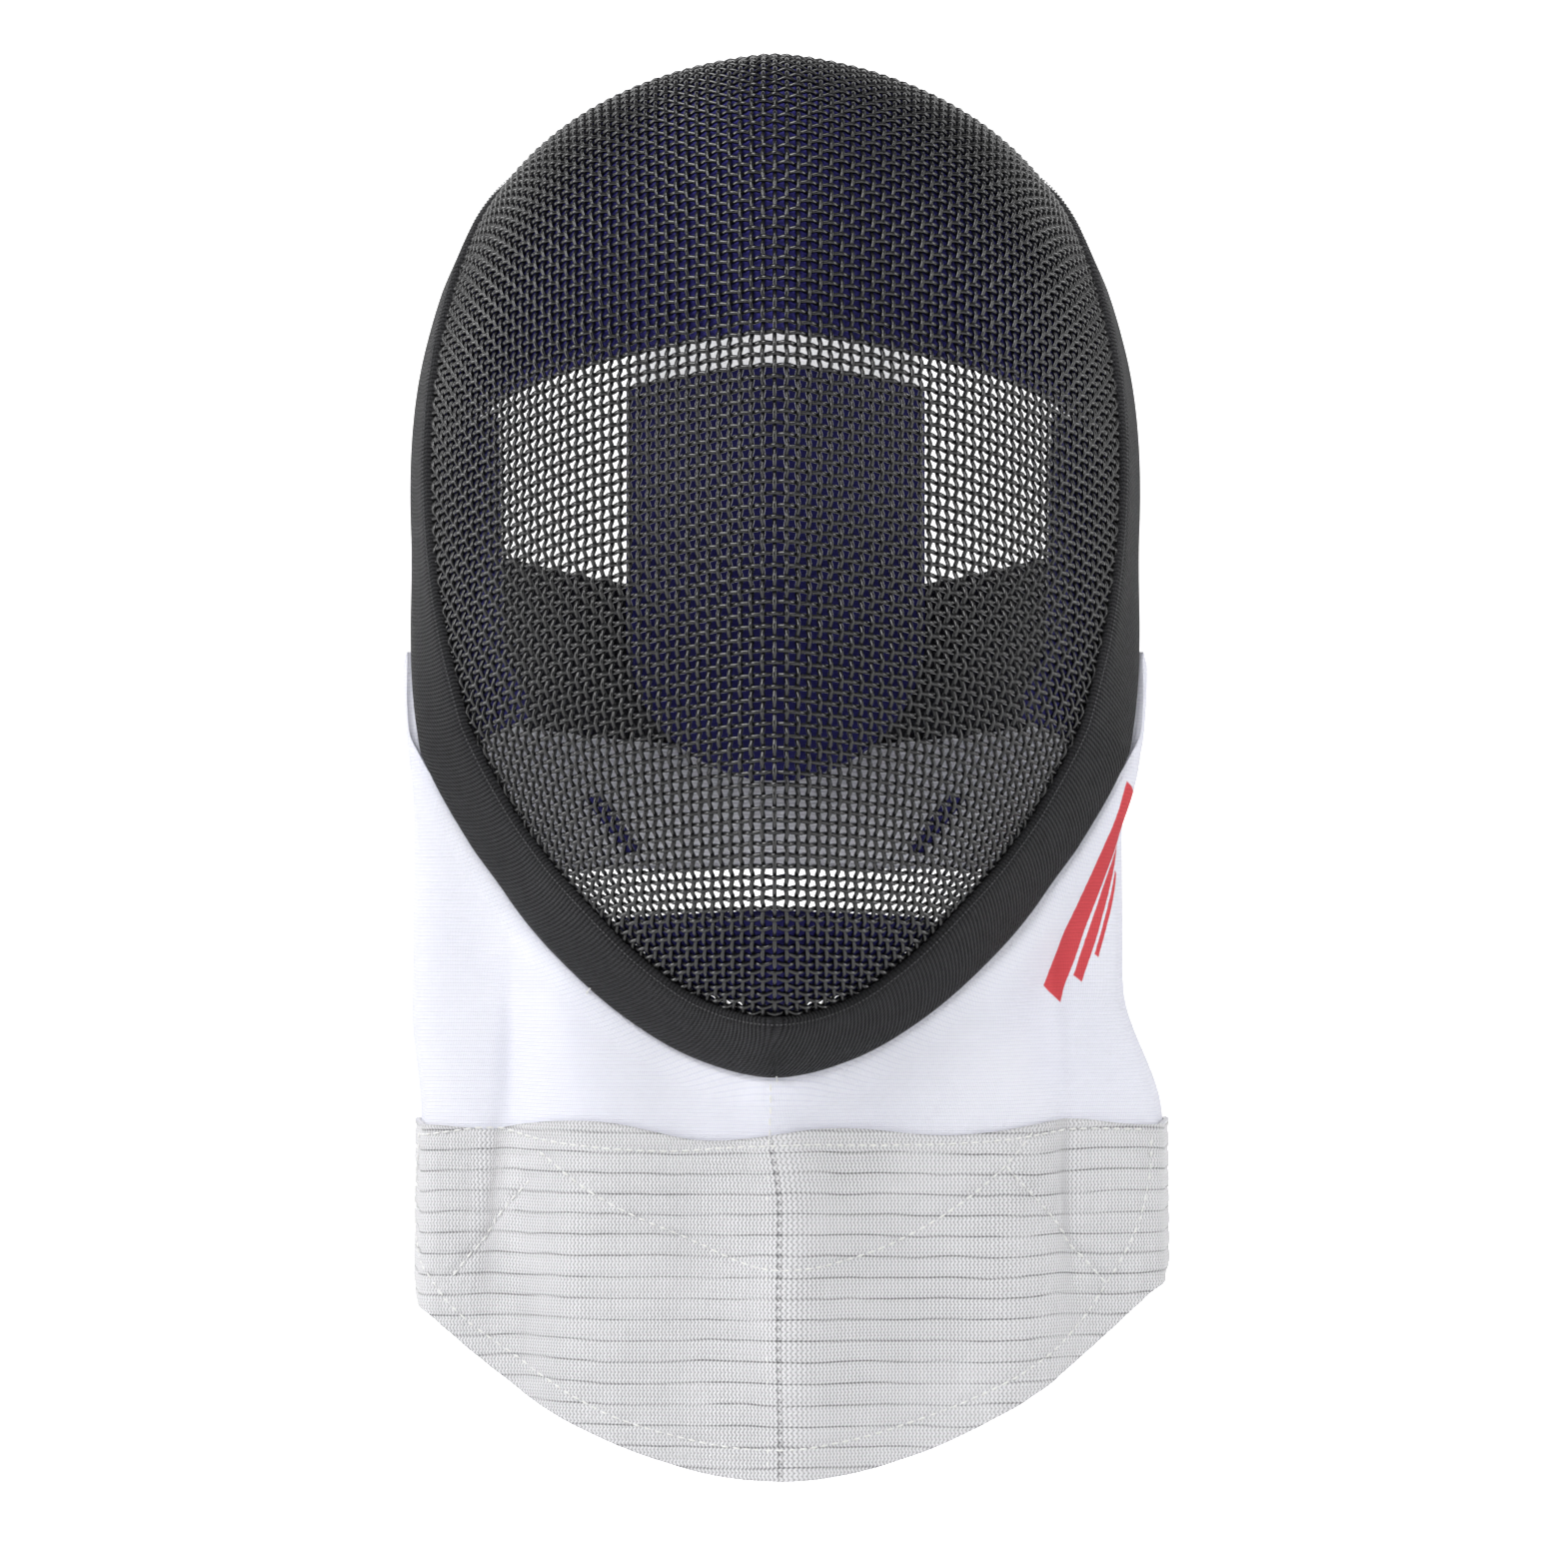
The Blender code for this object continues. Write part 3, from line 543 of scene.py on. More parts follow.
def silver_material():
    """Conductive knit: columns of zigzag stitches, drawn in along a line every few millimetres down, with
    painted shade darkening those drawn-in lines.
    """
    m, b, t = surface("silver_knit_cloth", (.62, .62, .62), .55, .1, .05, .4)
    u, v = uv_parts(t)
    line = wave(t, maths(t, "MULTIPLY_ADD", noise(t, 24, 3), .0042, v), .0054)
    step = maths(t, "MULTIPLY", maths(t, "PINGPONG", v, .0008), .62)
    column = wave(t, maths(t, "ADD", u, step), .00105)
    stitch = wave(t, v, .0008)
    h = add(t, (.7, column), (.25, stitch))
    # The lines fade out in places
    kept = ramp(t, noise(t, 46, 2), .36, .56, .5, 1)
    # Painted shade: the drawn-in lines are darkened in the tone, as well as pressed in by the bump
    groove_and_shade = maths(t, "MULTIPLY", ramp(t, line, .0, .24, 1, 0), kept)
    # The stitched line down the middle
    beside = maths(t, "ABSOLUTE", maths(t, "ADD", u, .001))
    middle = maths(t, "MULTIPLY", ramp(t, beside, .0003, .0009, 1, 0), wave(t, v, .0027))
    tone = add(t, (.75, column), (.26, stitch), (.35, noise(t, 60, 3)), (-.62, groove_and_shade), (-.5, middle))
    t.links.new(mix(t, ramp(t, tone, -.1, .95), (.15, .15, .155), (.80, .795, .82)), b.inputs["Base Color"])
    bump(t, b, add(t, (1, h), (-.5, groove_and_shade), (.25, noise(t, 2400, 2))), .8, .0004)
    return m


def elastic_material(name, colour, shade):
    """Woven elastic. u runs along it, v across."""
    m, b, t = surface(name, colour, .8, 0.0, .03, .15)
    u, v = uv_parts(t)
    tone, height = use_group(t, "elastic_cords", Along=u, Across=v, Cord=CORD)
    t.links.new(mix(t, ramp(t, tone, .3, 1.1), shade, colour), b.inputs["Base Color"])
    bump(t, b, height, .6, CORD * .35)
    return m


def thread_material(name, colour):
    """Sewing thread, a little lighter in places."""
    m, b, t = surface(name, colour, .7, 0, .05, .2)
    tone, height = use_group(t, "thread_fibres", Scale=1500.0)
    lit = tuple(min(1, c * 1.12) for c in colour)
    t.links.new(mix(t, ramp(t, tone, .35, .65), colour, lit), b.inputs["Base Color"])
    bump(t, b, height, .5, .0001)
    return m


def lengths(grid, axis):
    """Length run along the grid's rows or columns, in metres."""
    d = np.linalg.norm(np.diff(grid, axis=axis), axis=-1)
    zero = np.zeros_like(np.take(d, [0], axis=axis))
    return np.cumsum(np.concatenate([zero, d], axis=axis), axis=axis)


def grid_uv(grid):
    """UV in metres: the first along the columns' order, the second down the rows."""
    return np.stack([lengths(grid, 1), lengths(grid, 0)], -1)


def swell(ob, held, limit, pressure):
    """Fills a pad out as cloth under pressure with some of its points held, and keeps the shape it takes."""
    me, scene, frames = ob.data, bpy.context.scene, 20
    start = np.empty(len(me.vertices) * 3)
    me.vertices.foreach_get("co", start)
    start = start.reshape(-1, 3)
    group = ob.vertex_groups.new(name="held")
    group.add(np.flatnonzero(held).tolist(), 1.0, "REPLACE")
    mod = ob.modifiers.new("swell", "CLOTH")
    cloth = mod.settings
    cloth.quality, cloth.mass = 5, .2
    cloth.tension_stiffness = cloth.compression_stiffness = 12
    cloth.shear_stiffness, cloth.bending_stiffness = 4, .4
    cloth.use_pressure, cloth.uniform_pressure_force = True, pressure
    cloth.vertex_group_mass = "held"
    cloth.effector_weights.gravity = 0
    mod.collision_settings.use_collision = False
    mod.point_cache.frame_start, mod.point_cache.frame_end = 1, frames
    for f in range(1, frames + 1):
        scene.frame_set(f)
    shaped = ob.evaluated_get(bpy.context.evaluated_depsgraph_get()).to_mesh()
    moved = np.empty(len(me.vertices) * 3)
    shaped.vertices.foreach_get("co", moved)
    moved = moved.reshape(-1, 3) - start
    ob.modifiers.remove(mod)
    ob.vertex_groups.remove(group)
    scene.frame_set(1)
    far = np.linalg.norm(moved, axis=1, keepdims=True)
    moved = moved * np.minimum(1, limit / np.maximum(far, 1e-9)) * (~held)[:, None]
    me.vertices.foreach_set("co", (start + moved).ravel())
    me.update()


def cushion(name, mid, normal, thick, mat, node, hem=.0035, ramp_=.008, low=.26, flush=True):
    """A padded sheet: a flat sewn hem all round, then a rounded rise to nearly the full thickness, filled
    out as cloth. If flush, its outer face lies flat on the mesh and its hem is lifted off the band's lip."""
    down_, right = lengths(mid, 0), lengths(mid, 1)
    near = np.minimum(np.minimum(down_, down_[-1:] - down_), np.minimum(right, right[:, -1:] - right))
    t = np.clip((near - hem) / ramp_, 0, 1)
    share = low + (.86 - low) * np.sqrt(1 - (1 - t) ** 2)
    if flush:
        lift = PAD_LIFT * ease((PAD_OVER + .0015 - near) / .0018)
        outer = mid + normal * (thick / 2 - lift)[..., None]
        lift = PAD_LIFT * ease((PAD_OVER + .004 - near) / .004)
        inner = mid + normal * (thick * (.5 - share) - lift)[..., None]
    else:
        outer, inner = (mid + normal * (thick / 2 * share * k)[..., None] for k in (1, -1))
    ob = slab(name, outer, inner, mat, (node,), grid_uv(mid))
    stiff = near.ravel() < hem + .0005
    swell(ob, np.concatenate([stiff | flush, stiff]), thick * .13, 3.0)
    smooth = ob.modifiers.new("rounded", "SUBSURF")
    smooth.levels = smooth.render_levels = 1
    smooth.uv_smooth = "PRESERVE_CORNERS"
    return inner, near


def along_path(path, normal, spacing):
    """Evenly spaced points of a path with its way and normal there."""
    run = run_along(path)
    at = np.arange(spacing / 2, run[-1], spacing)
    way = between(at, run, np.gradient(path, run, axis=0))
    return between(at, run, path), unit(way), unit(between(at, run, normal))


def stitches(name, p, way, normal, mat, length, radius, slot, rings=4):
    """Short stitches: small spindles that lie along way and stand half out of the cloth."""
    sides = 5
    a = np.arange(sides) / sides * 2 * np.pi
    x = np.linspace(-1, 1, rings)
    fat = np.sqrt(np.clip(1 - x ** 2, .05, 1)) * radius
    side = unit(np.cross(way, normal))
    pts = p[:, None, None] + way[:, None, None] * (x * length / 2)[None, :, None, None]
    a = a[None, None, :, None]
    ring = np.cos(a) * side[:, None, None] + np.sin(a) * normal[:, None, None]
    pts = pts + ring * fat[None, :, None, None]
    one = grid_faces(rings, sides, 0, True)
    faces = (one[None] + (np.arange(len(p)) * rings * sides)[:, None, None]).reshape(-1, 4)
    piece(name, pts, faces, mat)


def sew(name, path, normal, stitch, mat, slot, rings=4):
    """A row of stitches along a path."""
    spacing, length, radius = stitch
    stitches(name, *along_path(path, normal, spacing), mat, length, radius, slot, rings)


def binding(mat, thread, tack_thread):
    """The knit band: a U-shaped section with rounded shoulders, carried round the seam, with its stitches."""
    s, v = seam(640)
    p, out, band_n, n = seam_frame(s, v)
    c, t, w = MESH_THICK / 2 + GAP * .2, KNIT_THICK, BAND_WIDTH
    a = np.linspace(0, 1, 10)
    reach = LIP_START - .0006 + (w - LIP_START) * (1 - (1 - a) ** 1.15)
    full = np.sqrt(np.clip(1 - np.clip((reach - .64 * w) / (.37 * w), 0, 1) ** 2, 0, 1))
    lip = ease((reach - LIP_START + .0006) / .0016)
    high = (c + t * (.45 + .55 * lip)) * full
    half = np.concatenate([[(LIP_START - .0006, .0002)], np.stack([reach, high], -1)])
    section = np.concatenate([half[:-1], [(w, 0)], half[:-1][::-1] * (1, -1)])
    pts = p[:, None] + out[:, None] * section[None, :, :1] + band_n[:, None] * section[None, :, 1:]
    pts = np.concatenate([pts, pts[:1]])
    run = lengths(pts, 0)[:, 5:6]
    uv = np.stack(np.broadcast_arrays(run, run_along(section)[None]), -1)
    faces = grid_faces(len(s) + 1, pts.shape[1])
    piece("knit_binding", pts, faces, mat, ("edge_binding",), uv)
    loop = np.r_[np.arange(len(s)), 0]
    for name, side in (("binding_stitches_outside", 1), ("binding_stitches_inside", -1)):
        row = (p + out * (LIP_START + .0004) + band_n * side * (c + t * .93))[loop]
        sew(name, row, (band_n * side)[loop], BAND_STITCH, thread, "charcoal_knit", 3)
    # Two bar tacks that hold the bib to the band
    for name, share in (("tack_chin", .9985), ("tack_left", .939)):
        i = int(share * len(s)) % len(s)
        mid = p[i] + out[i] * (w + .0004) + band_n[i] * .0012
        row = mid + out[i] * np.linspace(-.0014, .0014, 3)[:, None]
        way, up_ = (np.repeat(x[i][None], 3, 0) for x in (out, band_n))
        stitches(name, row, way, up_, tack_thread, .0016, .0003, "white_cloth")


def on_bib(grid, normal, path, stand):
    """Points of the bib's front at (across, level) pairs from the foremost point, with their normals."""
    across = slice(int(grid.shape[1] * .12), int(grid.shape[1] * .88))
    g, n = grid[:, across].reshape(-1, 3), normal[:, across].reshape(-1, 3)
    near = ((g[None, :, 0] - path[:, None, 0]) ** 2 + (g[None, :, 2] - path[:, None, 1]) ** 2).argmin(1)
    g, n = g[near], n[near]
    y = g[:, 1] - (n[:, 0] * (path[:, 0] - g[:, 0]) + n[:, 2] * (path[:, 1] - g[:, 2])) / n[:, 1]
    return np.stack([path[:, 0], y, path[:, 1]], -1) + n * stand, n


def curve_through(points, count=160):
    """A smooth curve through a few (across, level) points given in millimetres."""
    pts = np.array(points, float) / 1000
    run = run_along(pts)
    at = np.linspace(0, run[-1], count)
    return np.stack([smooth_table(at, run, pts[:, k]) for k in (0, 1)], -1)


# Lines of stitching on the bib: across and level, in millimetres from the foremost point
BORDER = ((-93, -127), (-93, -158), (-88, -169), (-62, -189), (-43, -200), (-20, -206.5), (-2, -208.5),
          (17, -206.5), (41, -200), (63, -190), (79, -178), (88, -166), (95, -153), (98.5, -138), (99, -127))
SMILE = ((-61, -131.5), (-48, -142), (-20, -155), (-1, -161.5), (24, -157.5), (47, -146), (60, -135),
         (67, -126))
SLANT_LEFT = ((-63, -139), (-75, -152), (-86, -166))
SLANT_RIGHT = ((60, -135), (70, -147), (87, -166))
TOP_LINE = ((-93, -128), (-75, -125.6), (-60, -128.5), (-30, -131), (-2, -129.3), (33, -129.6), (60, -128.2),
            (75, -126.2), (96, -126.2))
MIDDLE = ((-1, -108), (-1, -130), (-1, -170), (-1, -214))


def bib_grid(rows_up, rows_low, cols):
    """Middle surface of the bib: columns from the left wing to the right one, rows from the top edge down."""
    half = 32
    s, v = seam(2 * half)
    p, out, band_n, n = seam_frame(s, v)
    edge = (p + out * (BAND_WIDTH + GAP + .0006))[:half]
    last = np.interp(BIB_TOP * RIDGE_UP, v[:half], np.arange(half))
    at = np.concatenate([np.arange(np.floor(last)), [last]])
    right = between(at, np.arange(half), edge)
    way = unit((right[-1] - right[-2])[:2])
    base = np.arctan2(way[1], way[0])
    wing, here = [], right[-1].copy()
    for k, a in enumerate(np.radians([-5., -3., 1., 5.])):
        here = here + np.array([np.cos(base + a), np.sin(base + a), 0]) * WING_REACH / 4
        here[2] = right[-1][2] - .002 * (k + 1) - .001 * (k == 3)
        wing.append(here.copy())
    top = np.concatenate([right, wing])
    # The way in behind the band, for the stations beside it
    hide = (-out * .004 - band_n * .0043)[:half]
    hide = between(at, np.arange(half), hide) * ease((-right[:, 2:] - .03) / .012)
    hide = np.concatenate([hide, np.zeros((4, 3))])
    hide = np.concatenate([hide[:0:-1] * (-1, 1, 1), hide])
    top = np.concatenate([top[:0:-1] * (-1, 1, 1), top])
    # More columns along a smooth curve through those
    run = run_along(top)
    fine = np.linspace(0, run[-1], cols)
    share = np.interp(fine, run, np.arange(len(run))) / (len(run) - 1) * 2 - 1
    top = np.stack([smooth_table(fine, run, top[:, k]) for k in range(3)], -1)
    hide = between(fine, run, hide)
    x = top[:, 0]
    hem = -BIB_HANG + BIB_TILT * x + BIB_HEM_CURVE * x ** 2 + BIB_CORNER * ease((np.abs(x) - .086) / .016)
    side = ease((np.abs(share) - .78) / .22)
    hem = hem * (1 - side) - BIB_SIDE_HEM * side + .005 * ease((np.abs(share) - .955) / .045)
    # The panel's upper edge: a row of the grid lies on it
    line = -PANEL_TOP + .0018 * np.sin(x * 95 + .6) * ease((.1 - np.abs(x)) / .03)
    line = line - .0022 * ease(1 - np.abs(x) / .05)
    top_z = np.maximum(top[:, 2], line + .012)
    hem = np.minimum(hem, line - .012)
    upper, lower = np.linspace(0, 1, rows_up)[:, None], np.linspace(0, 1, rows_low)[1:, None]
    z = np.concatenate([top_z + (line - top_z) * upper, line + (hem - line) * lower])
    fall = top_z - z
    free = ease(fall / .035)
    below = ease((-z - .018) / .03)
    wide = BIB_FLARE * ease((-z - .085) / .04) - BIB_TRIM - (BIB_WAIST - BIB_TRIM) * below
    sway = (BIB_SWAY + BIB_PULL) * ease((-z - .09) / .035) - BIB_PULL * below
    gx = x + free * (x * wide + sway)
    gy = top[:, 1] - BIB_LEAN * fall
    left, right_ = gx + .068 - .09 * (z + .095), gx - .074 + .02 * (z + .1)
    fold = np.exp(-(left / .007) ** 2) + .8 * np.exp(-(right_ / .006) ** 2)
    crease = np.exp(-((left + .006) / .0022) ** 2) + np.exp(-((right_ - .005) / .002) ** 2)
    still = free * ease((z + BIB_HANG - .03) / .05)
    gy = gy + FOLD_DEPTH * fold * still - .0004 * crease * still
    ripple = sum(high * np.sin(gx * turn + z * down_ + shift) for turn, down_, shift, high in RIPPLES)
    gy = gy + RIPPLE_HIGH * ripple * free
    grid = np.stack([gx, gy, z], -1) + hide * (1 - ease(fall / .008))[..., None]
    across = run_along(grid[rows_up // 2])
    uv = np.stack(np.broadcast_arrays(across[None] - across[-1] / 2, z), -1)
    return grid, uv


def bib(white, silver, thread):
    """White cloth with its conductive panel, the panel quilted in rows and held by lines of stitches."""
    rows_up, rows_low, cols = 60, 118, 220
    grid, uv = bib_grid(rows_up, rows_low, cols)
    n = grid_normal(grid)
    half = n * .00145
    thin = np.r_[0:rows_up, rows_up:rows_up + rows_low - 1:3]
    thin[-1] = rows_up + rows_low - 2
    cloth = slab("bib_white_cloth", (grid + half)[thin], (grid - half)[thin], white,
                 ("bib_cloth",), uv[thin])
    low, ln, luv = grid[rows_up - 1:], n[rows_up - 1:], uv[rows_up - 1:]
    base = .0015 + GAP * .5
    puff = np.abs(np.sin(np.pi * (luv[..., 1] + .0006 * np.sin(luv[..., 0] * 60)) / .0053)) ** .6
    press = np.zeros(low.shape[:2])
    for path in (BORDER, SMILE, SLANT_LEFT, SLANT_RIGHT, TOP_LINE):
        c = curve_through(path, 90)
        d = np.ones(low.shape[:2])
        for q in c:
            d = np.minimum(d, (low[..., 0] - q[0]) ** 2 + (low[..., 2] - q[1]) ** 2)
        press = np.maximum(press, np.exp(-d / .0011 ** 2))
    high = .0010 + .00045 * puff - .0006 * press
    panel = slab("bib_silver_panel", low + ln * (base + high)[..., None], low + ln * base, silver,
                 ("bib_conductive_panel",), luv)
    for name, path in (("border", BORDER), ("smile", SMILE), ("slant_left", SLANT_LEFT),
                       ("slant_right", SLANT_RIGHT), ("top_line", TOP_LINE), ("middle", MIDDLE)):
        c = curve_through(path)
        if name == "middle":
            c = c[c[:, 1] < -.112]
        p, pn = on_bib(grid, n, c, base + .0010)
        if name == "middle":
            p = p - pn * (.0012 * (c[:, 1:] > -PANEL_TOP - .002))
        sew("stitches_" + name, p, pn, PANEL_STITCH, thread, "conductive_cloth")
    return grid


def seam_across(v):
    """How far across a pad reaches at a length along the ridge: its hem lies over the band's inner lip."""
    s, at = seam(RIM_COUNT)
    return np.interp(v, at[:RIM_HALF], s[:RIM_HALF]) + PAD_OVER


def hem_stitches(name, inner, near, normal, thread):
    """A row of stitches round the inner face of a pad. near is how far each point is from the pad's edge."""
    rows, cols = near.shape
    r = int((near[:rows // 2, cols // 2] < HEM_INSET).sum())
    c = int((near[rows // 2, :cols // 2] < HEM_INSET).sum())
    down_, right = np.arange(r, rows - r), np.arange(c, cols - c)
    i = np.concatenate([np.full(len(right), r), down_, np.full(len(right), down_[-1]), down_[:0:-1]])
    j = np.concatenate([right, np.full(len(down_), right[-1]), right[::-1], np.full(len(down_) - 1, c)])
    sew(name, inner[i, j], -normal[i, j], PAD_STITCH, thread, "navy_cloth")


def pads(navy, thread):
    """The forehead pad, the side pads, the chin pad and the two chin tapes."""
    v = np.linspace(RIDGE_UP * .965, RIDGE_UP * BROW, 46)[:, None]
    mid, n = pad_points(np.linspace(-1, 1, 84) * seam_across(v), v)
    inner, near = cushion("forehead_liner", mid, n, PAD_THICK, navy, "forehead_pad")
    hem_stitches("forehead_stitches", inner, near, n, thread)
    v = np.linspace(RIDGE_UP * BROW - .004, -RIDGE_DOWN * .05, 36)[:, None]
    start = SIDE_REACH * SIDE_INNER - .012 * ease(-v / .02 + 1)
    outer = seam_across(v)
    for side, word in ((-1, "left"), (1, "right")):
        s = side * (start + (outer - start) * np.linspace(0, 1, 16)[None])
        s = s[:, ::-1] if side < 0 else s
        mid, n = pad_points(s, v + 0 * s)
        inner, near = cushion("side_liner_" + word, mid, n, PAD_THICK, navy, "side_pad_" + word,
                              ramp_=.006)
        hem_stitches("side_stitches_" + word, inner, near, n, thread)
    v = np.linspace(-RIDGE_DOWN * CHIN_TOP, -RIDGE_DOWN - PAD_OVER - .001, 28)[:, None]
    s = np.linspace(-1, 1, 52) * (seam_across(v) + .003 * ease((-v / RIDGE_DOWN - .75) / .15))
    mid, n = pad_points(s, v)
    inner, near = cushion("chin_liner", mid, n, PAD_THICK, navy, "chin_pad", ramp_=.006)
    hem_stitches("chin_stitches", inner, near, n, thread)
    t = np.linspace(0, 1, 26)[:, None]
    s = SIDE_REACH * (TAPE_ACROSS - .115 * t) + np.linspace(-.5, .5, 9) * TAPE_WIDTH
    v = -RIDGE_DOWN * (TAPE_TOP + (TAPE_END - TAPE_TOP) * t) + 0 * s
    for side, word in ((-1, "left"), (1, "right")):
        n = dome_normal(side * s, v, PAD_SOFT)
        mid = dome(side * s, v) - n * (MESH_THICK / 2 + GAP + .0014)
        half = n * .0009
        slab("chin_tape_cloth_" + word, mid + half, mid - half, navy, ("chin_tape_" + word,),
             grid_uv(mid))


def tongue(navy, pale, thread):
    """A curved pad with a round lower end, hung from the crown by a pale sleeve."""
    z0, z1 = TONGUE_TOP, -TONGUE_END
    round_ = TONGUE_WIDTH / 2
    u = np.linspace(-1, 1, 36)[None]
    rows = np.linspace(0, 1, 52)[:, None]
    rows = rows + .06 * np.sin(rows * np.pi) * rows
    z = z0 + (z1 - z0) * rows
    left = np.clip((z - z1) / round_, 0, 1)
    half = round_ * np.sqrt(np.clip(1 - (1 - left) ** 2, .02, 1))
    x = half * u
    y = TONGUE_BACK - .008 * ease((.06 - z) / .10) - x ** 2 * 4.2 - TONGUE_THICK / 2
    mid = np.stack([x, y, z - .008 * u ** 2 * (1 - rows) ** 3], -1)
    n = grid_normal(mid)
    inner, near = cushion("tongue_cushion", mid, n, TONGUE_THICK, navy, "tongue_pad",
                          ramp_=.011, low=.32, flush=False)
    hem_stitches("tongue_stitches", inner, near, n, thread)
    u, t = np.linspace(-1, 1, 40), np.linspace(0, 1, 60)[:, None, None]
    s, v = TONGUE_WIDTH * .4 * u, np.full(40, RIDGE_UP * SLEEVE_SEAT)
    seat, sn = pad_points(s, v)
    p0 = seat - sn * (PAD_THICK / 2 + GAP + SLEEVE_THICK / 2)
    x = (TONGUE_WIDTH / 2 - .001) * u
    p3 = np.stack([x, TONGUE_BACK - TONGUE_THICK / 2 + .0041 - x ** 2 * 4.2, z0 - .0028 - .008 * u ** 2], -1)
    p1, p2 = p0 + .030 * unit(dome(s, v + .001) - dome(s, v - .001)), p3 + (0, .006, .036)
    mid = (1 - t) ** 3 * p0 + 3 * t * (1 - t) ** 2 * p1 + 3 * t ** 2 * (1 - t) * p2 + t ** 3 * p3
    n = grid_normal(mid)
    edge = np.minimum(1, np.minimum(np.arange(40), 39 - np.arange(40)) / 3)
    h = n * (SLEEVE_THICK / 2 * (.55 + .45 * edge))[None, :, None]
    slab("tongue_sleeve_cloth", mid + h, mid - h, pale, ("tongue_sleeve",), grid_uv(mid))
    for k, c in ((0, 3), (1, 36)):
        sew("sleeve_stitches_%d" % k, mid[:, c] + h[:, c], n[:, c], SLEEVE_STITCH, thread, "pale_sleeve")


def round_band(name, start, back, top, low, thick, mat, node, samples=160, rows=14):
    """An elastic band from one side round the back to the other. start is its right end, x and y, row by
    row; top and low are the levels of its two edges, each at the back and at the ends."""
    a = np.linspace(-1, 1, samples)
    power = 2.6
    bend = np.abs(np.cos(a * np.pi / 2)) * (np.abs(a) < .9999)
    x, y = np.broadcast_to(np.asarray(start, float), (rows, 2)).T[..., None]
    x = x * np.sign(a) * np.abs(np.sin(a * np.pi / 2)) ** (2 / power)
    y = y + (back - y) * bend ** (2 / power)
    share, up_ = np.linspace(0, 1, rows)[:, None], ease(np.abs(a) / .7)
    z = (top[0] * (1 - up_) + top[1] * up_) * (1 - share) + (low[0] * (1 - up_) + low[1] * up_) * share
    mid = np.stack([x, y, z], -1)
    # Even steps along the band
    run = lengths(mid, 1)
    at = np.linspace(0, 1, samples) * run[:, -1:]
    mid = np.stack([[np.interp(at[r], run[r], mid[r, :, k]) for r in range(rows)] for k in range(3)], -1)
    n = grid_normal(mid)
    edge = np.minimum(1, .5 + .5 * np.minimum(np.arange(rows), rows - 1 - np.arange(rows)) / 1.5)
    h = n * (thick / 2 * edge)[:, None, None]
    slab(name, mid + h, mid - h, mat, (node,), grid_uv(mid))


def bands(grid, black, knit, pale, thread):
    """The back strap with its tabs at the ears, and the neck band between the wings."""
    s, v = seam(240)
    p, out, band_n, n = seam_frame(s, v)
    inward = .0015 + GAP + .0012 + STRAP_THICK
    behind = (p + out * (BAND_WIDTH + .0012) - band_n * inward)[:100]
    half, ends = STRAP_WIDTH / 2, STRAP_LEVEL + STRAP_RISE
    top = STRAP_LEVEL + half, ends + half + STRAP_SPLAY / 2
    low = STRAP_LEVEL - half, ends - half - STRAP_SPLAY / 2
    level = np.linspace(top[1] + .001, low[1] - .001, 25)
    front = between(level, behind[:, 2], behind[:, :2])
    rough = front[::4]
    end = np.array([rough[:, 0].min() - .0005, rough[:, 1].max() + TAB_REACH])
    back = TONGUE_BACK + .0006 + GAP + STRAP_THICK
    for side, word in ((-1, "left"), (1, "right")):
        t = np.linspace(0, 1, 14)[None, :, None]
        mid = front[:, None] * (1 - t) + end * t
        mid = np.concatenate([mid, np.repeat(level[:, None, None], 14, 1)], -1) * (side, 1, 1)
        n = grid_normal(mid[:, ::side])[:, ::side]
        slab("strap_tab_cloth_" + word, mid + n * .0012, mid - n * .0012, knit,
             ("strap_tab_" + word,), grid_uv(mid))
        for k, c in ((0, 8), (1, 11)):
            row, up_ = mid[1:-1, c] + n[1:-1, c] * .0012, n[1:-1, c]
            sew("tab_stitches_%s_%d" % (word, k), row, up_, TAB_STITCH, thread, "tab_knit")
    round_band("elastic_back_strap", end + (0, .001), back, top, low, STRAP_THICK, black,
               "back_strap")
    # The neck band's upper edge lies behind the strap's lower edge
    top = low[0] + .0025, low[1] - GAP
    rows = np.linspace(top[1], -NECK_END, 14)
    wing = between(-rows, -grid[:, -1, 2], grid[:, -1, :2])
    round_band("elastic_neck_band", wing + (0, GAP + .0003), back + .0021, top, (-NECK_END, -NECK_END), .0016,
               pale, "neck_band")


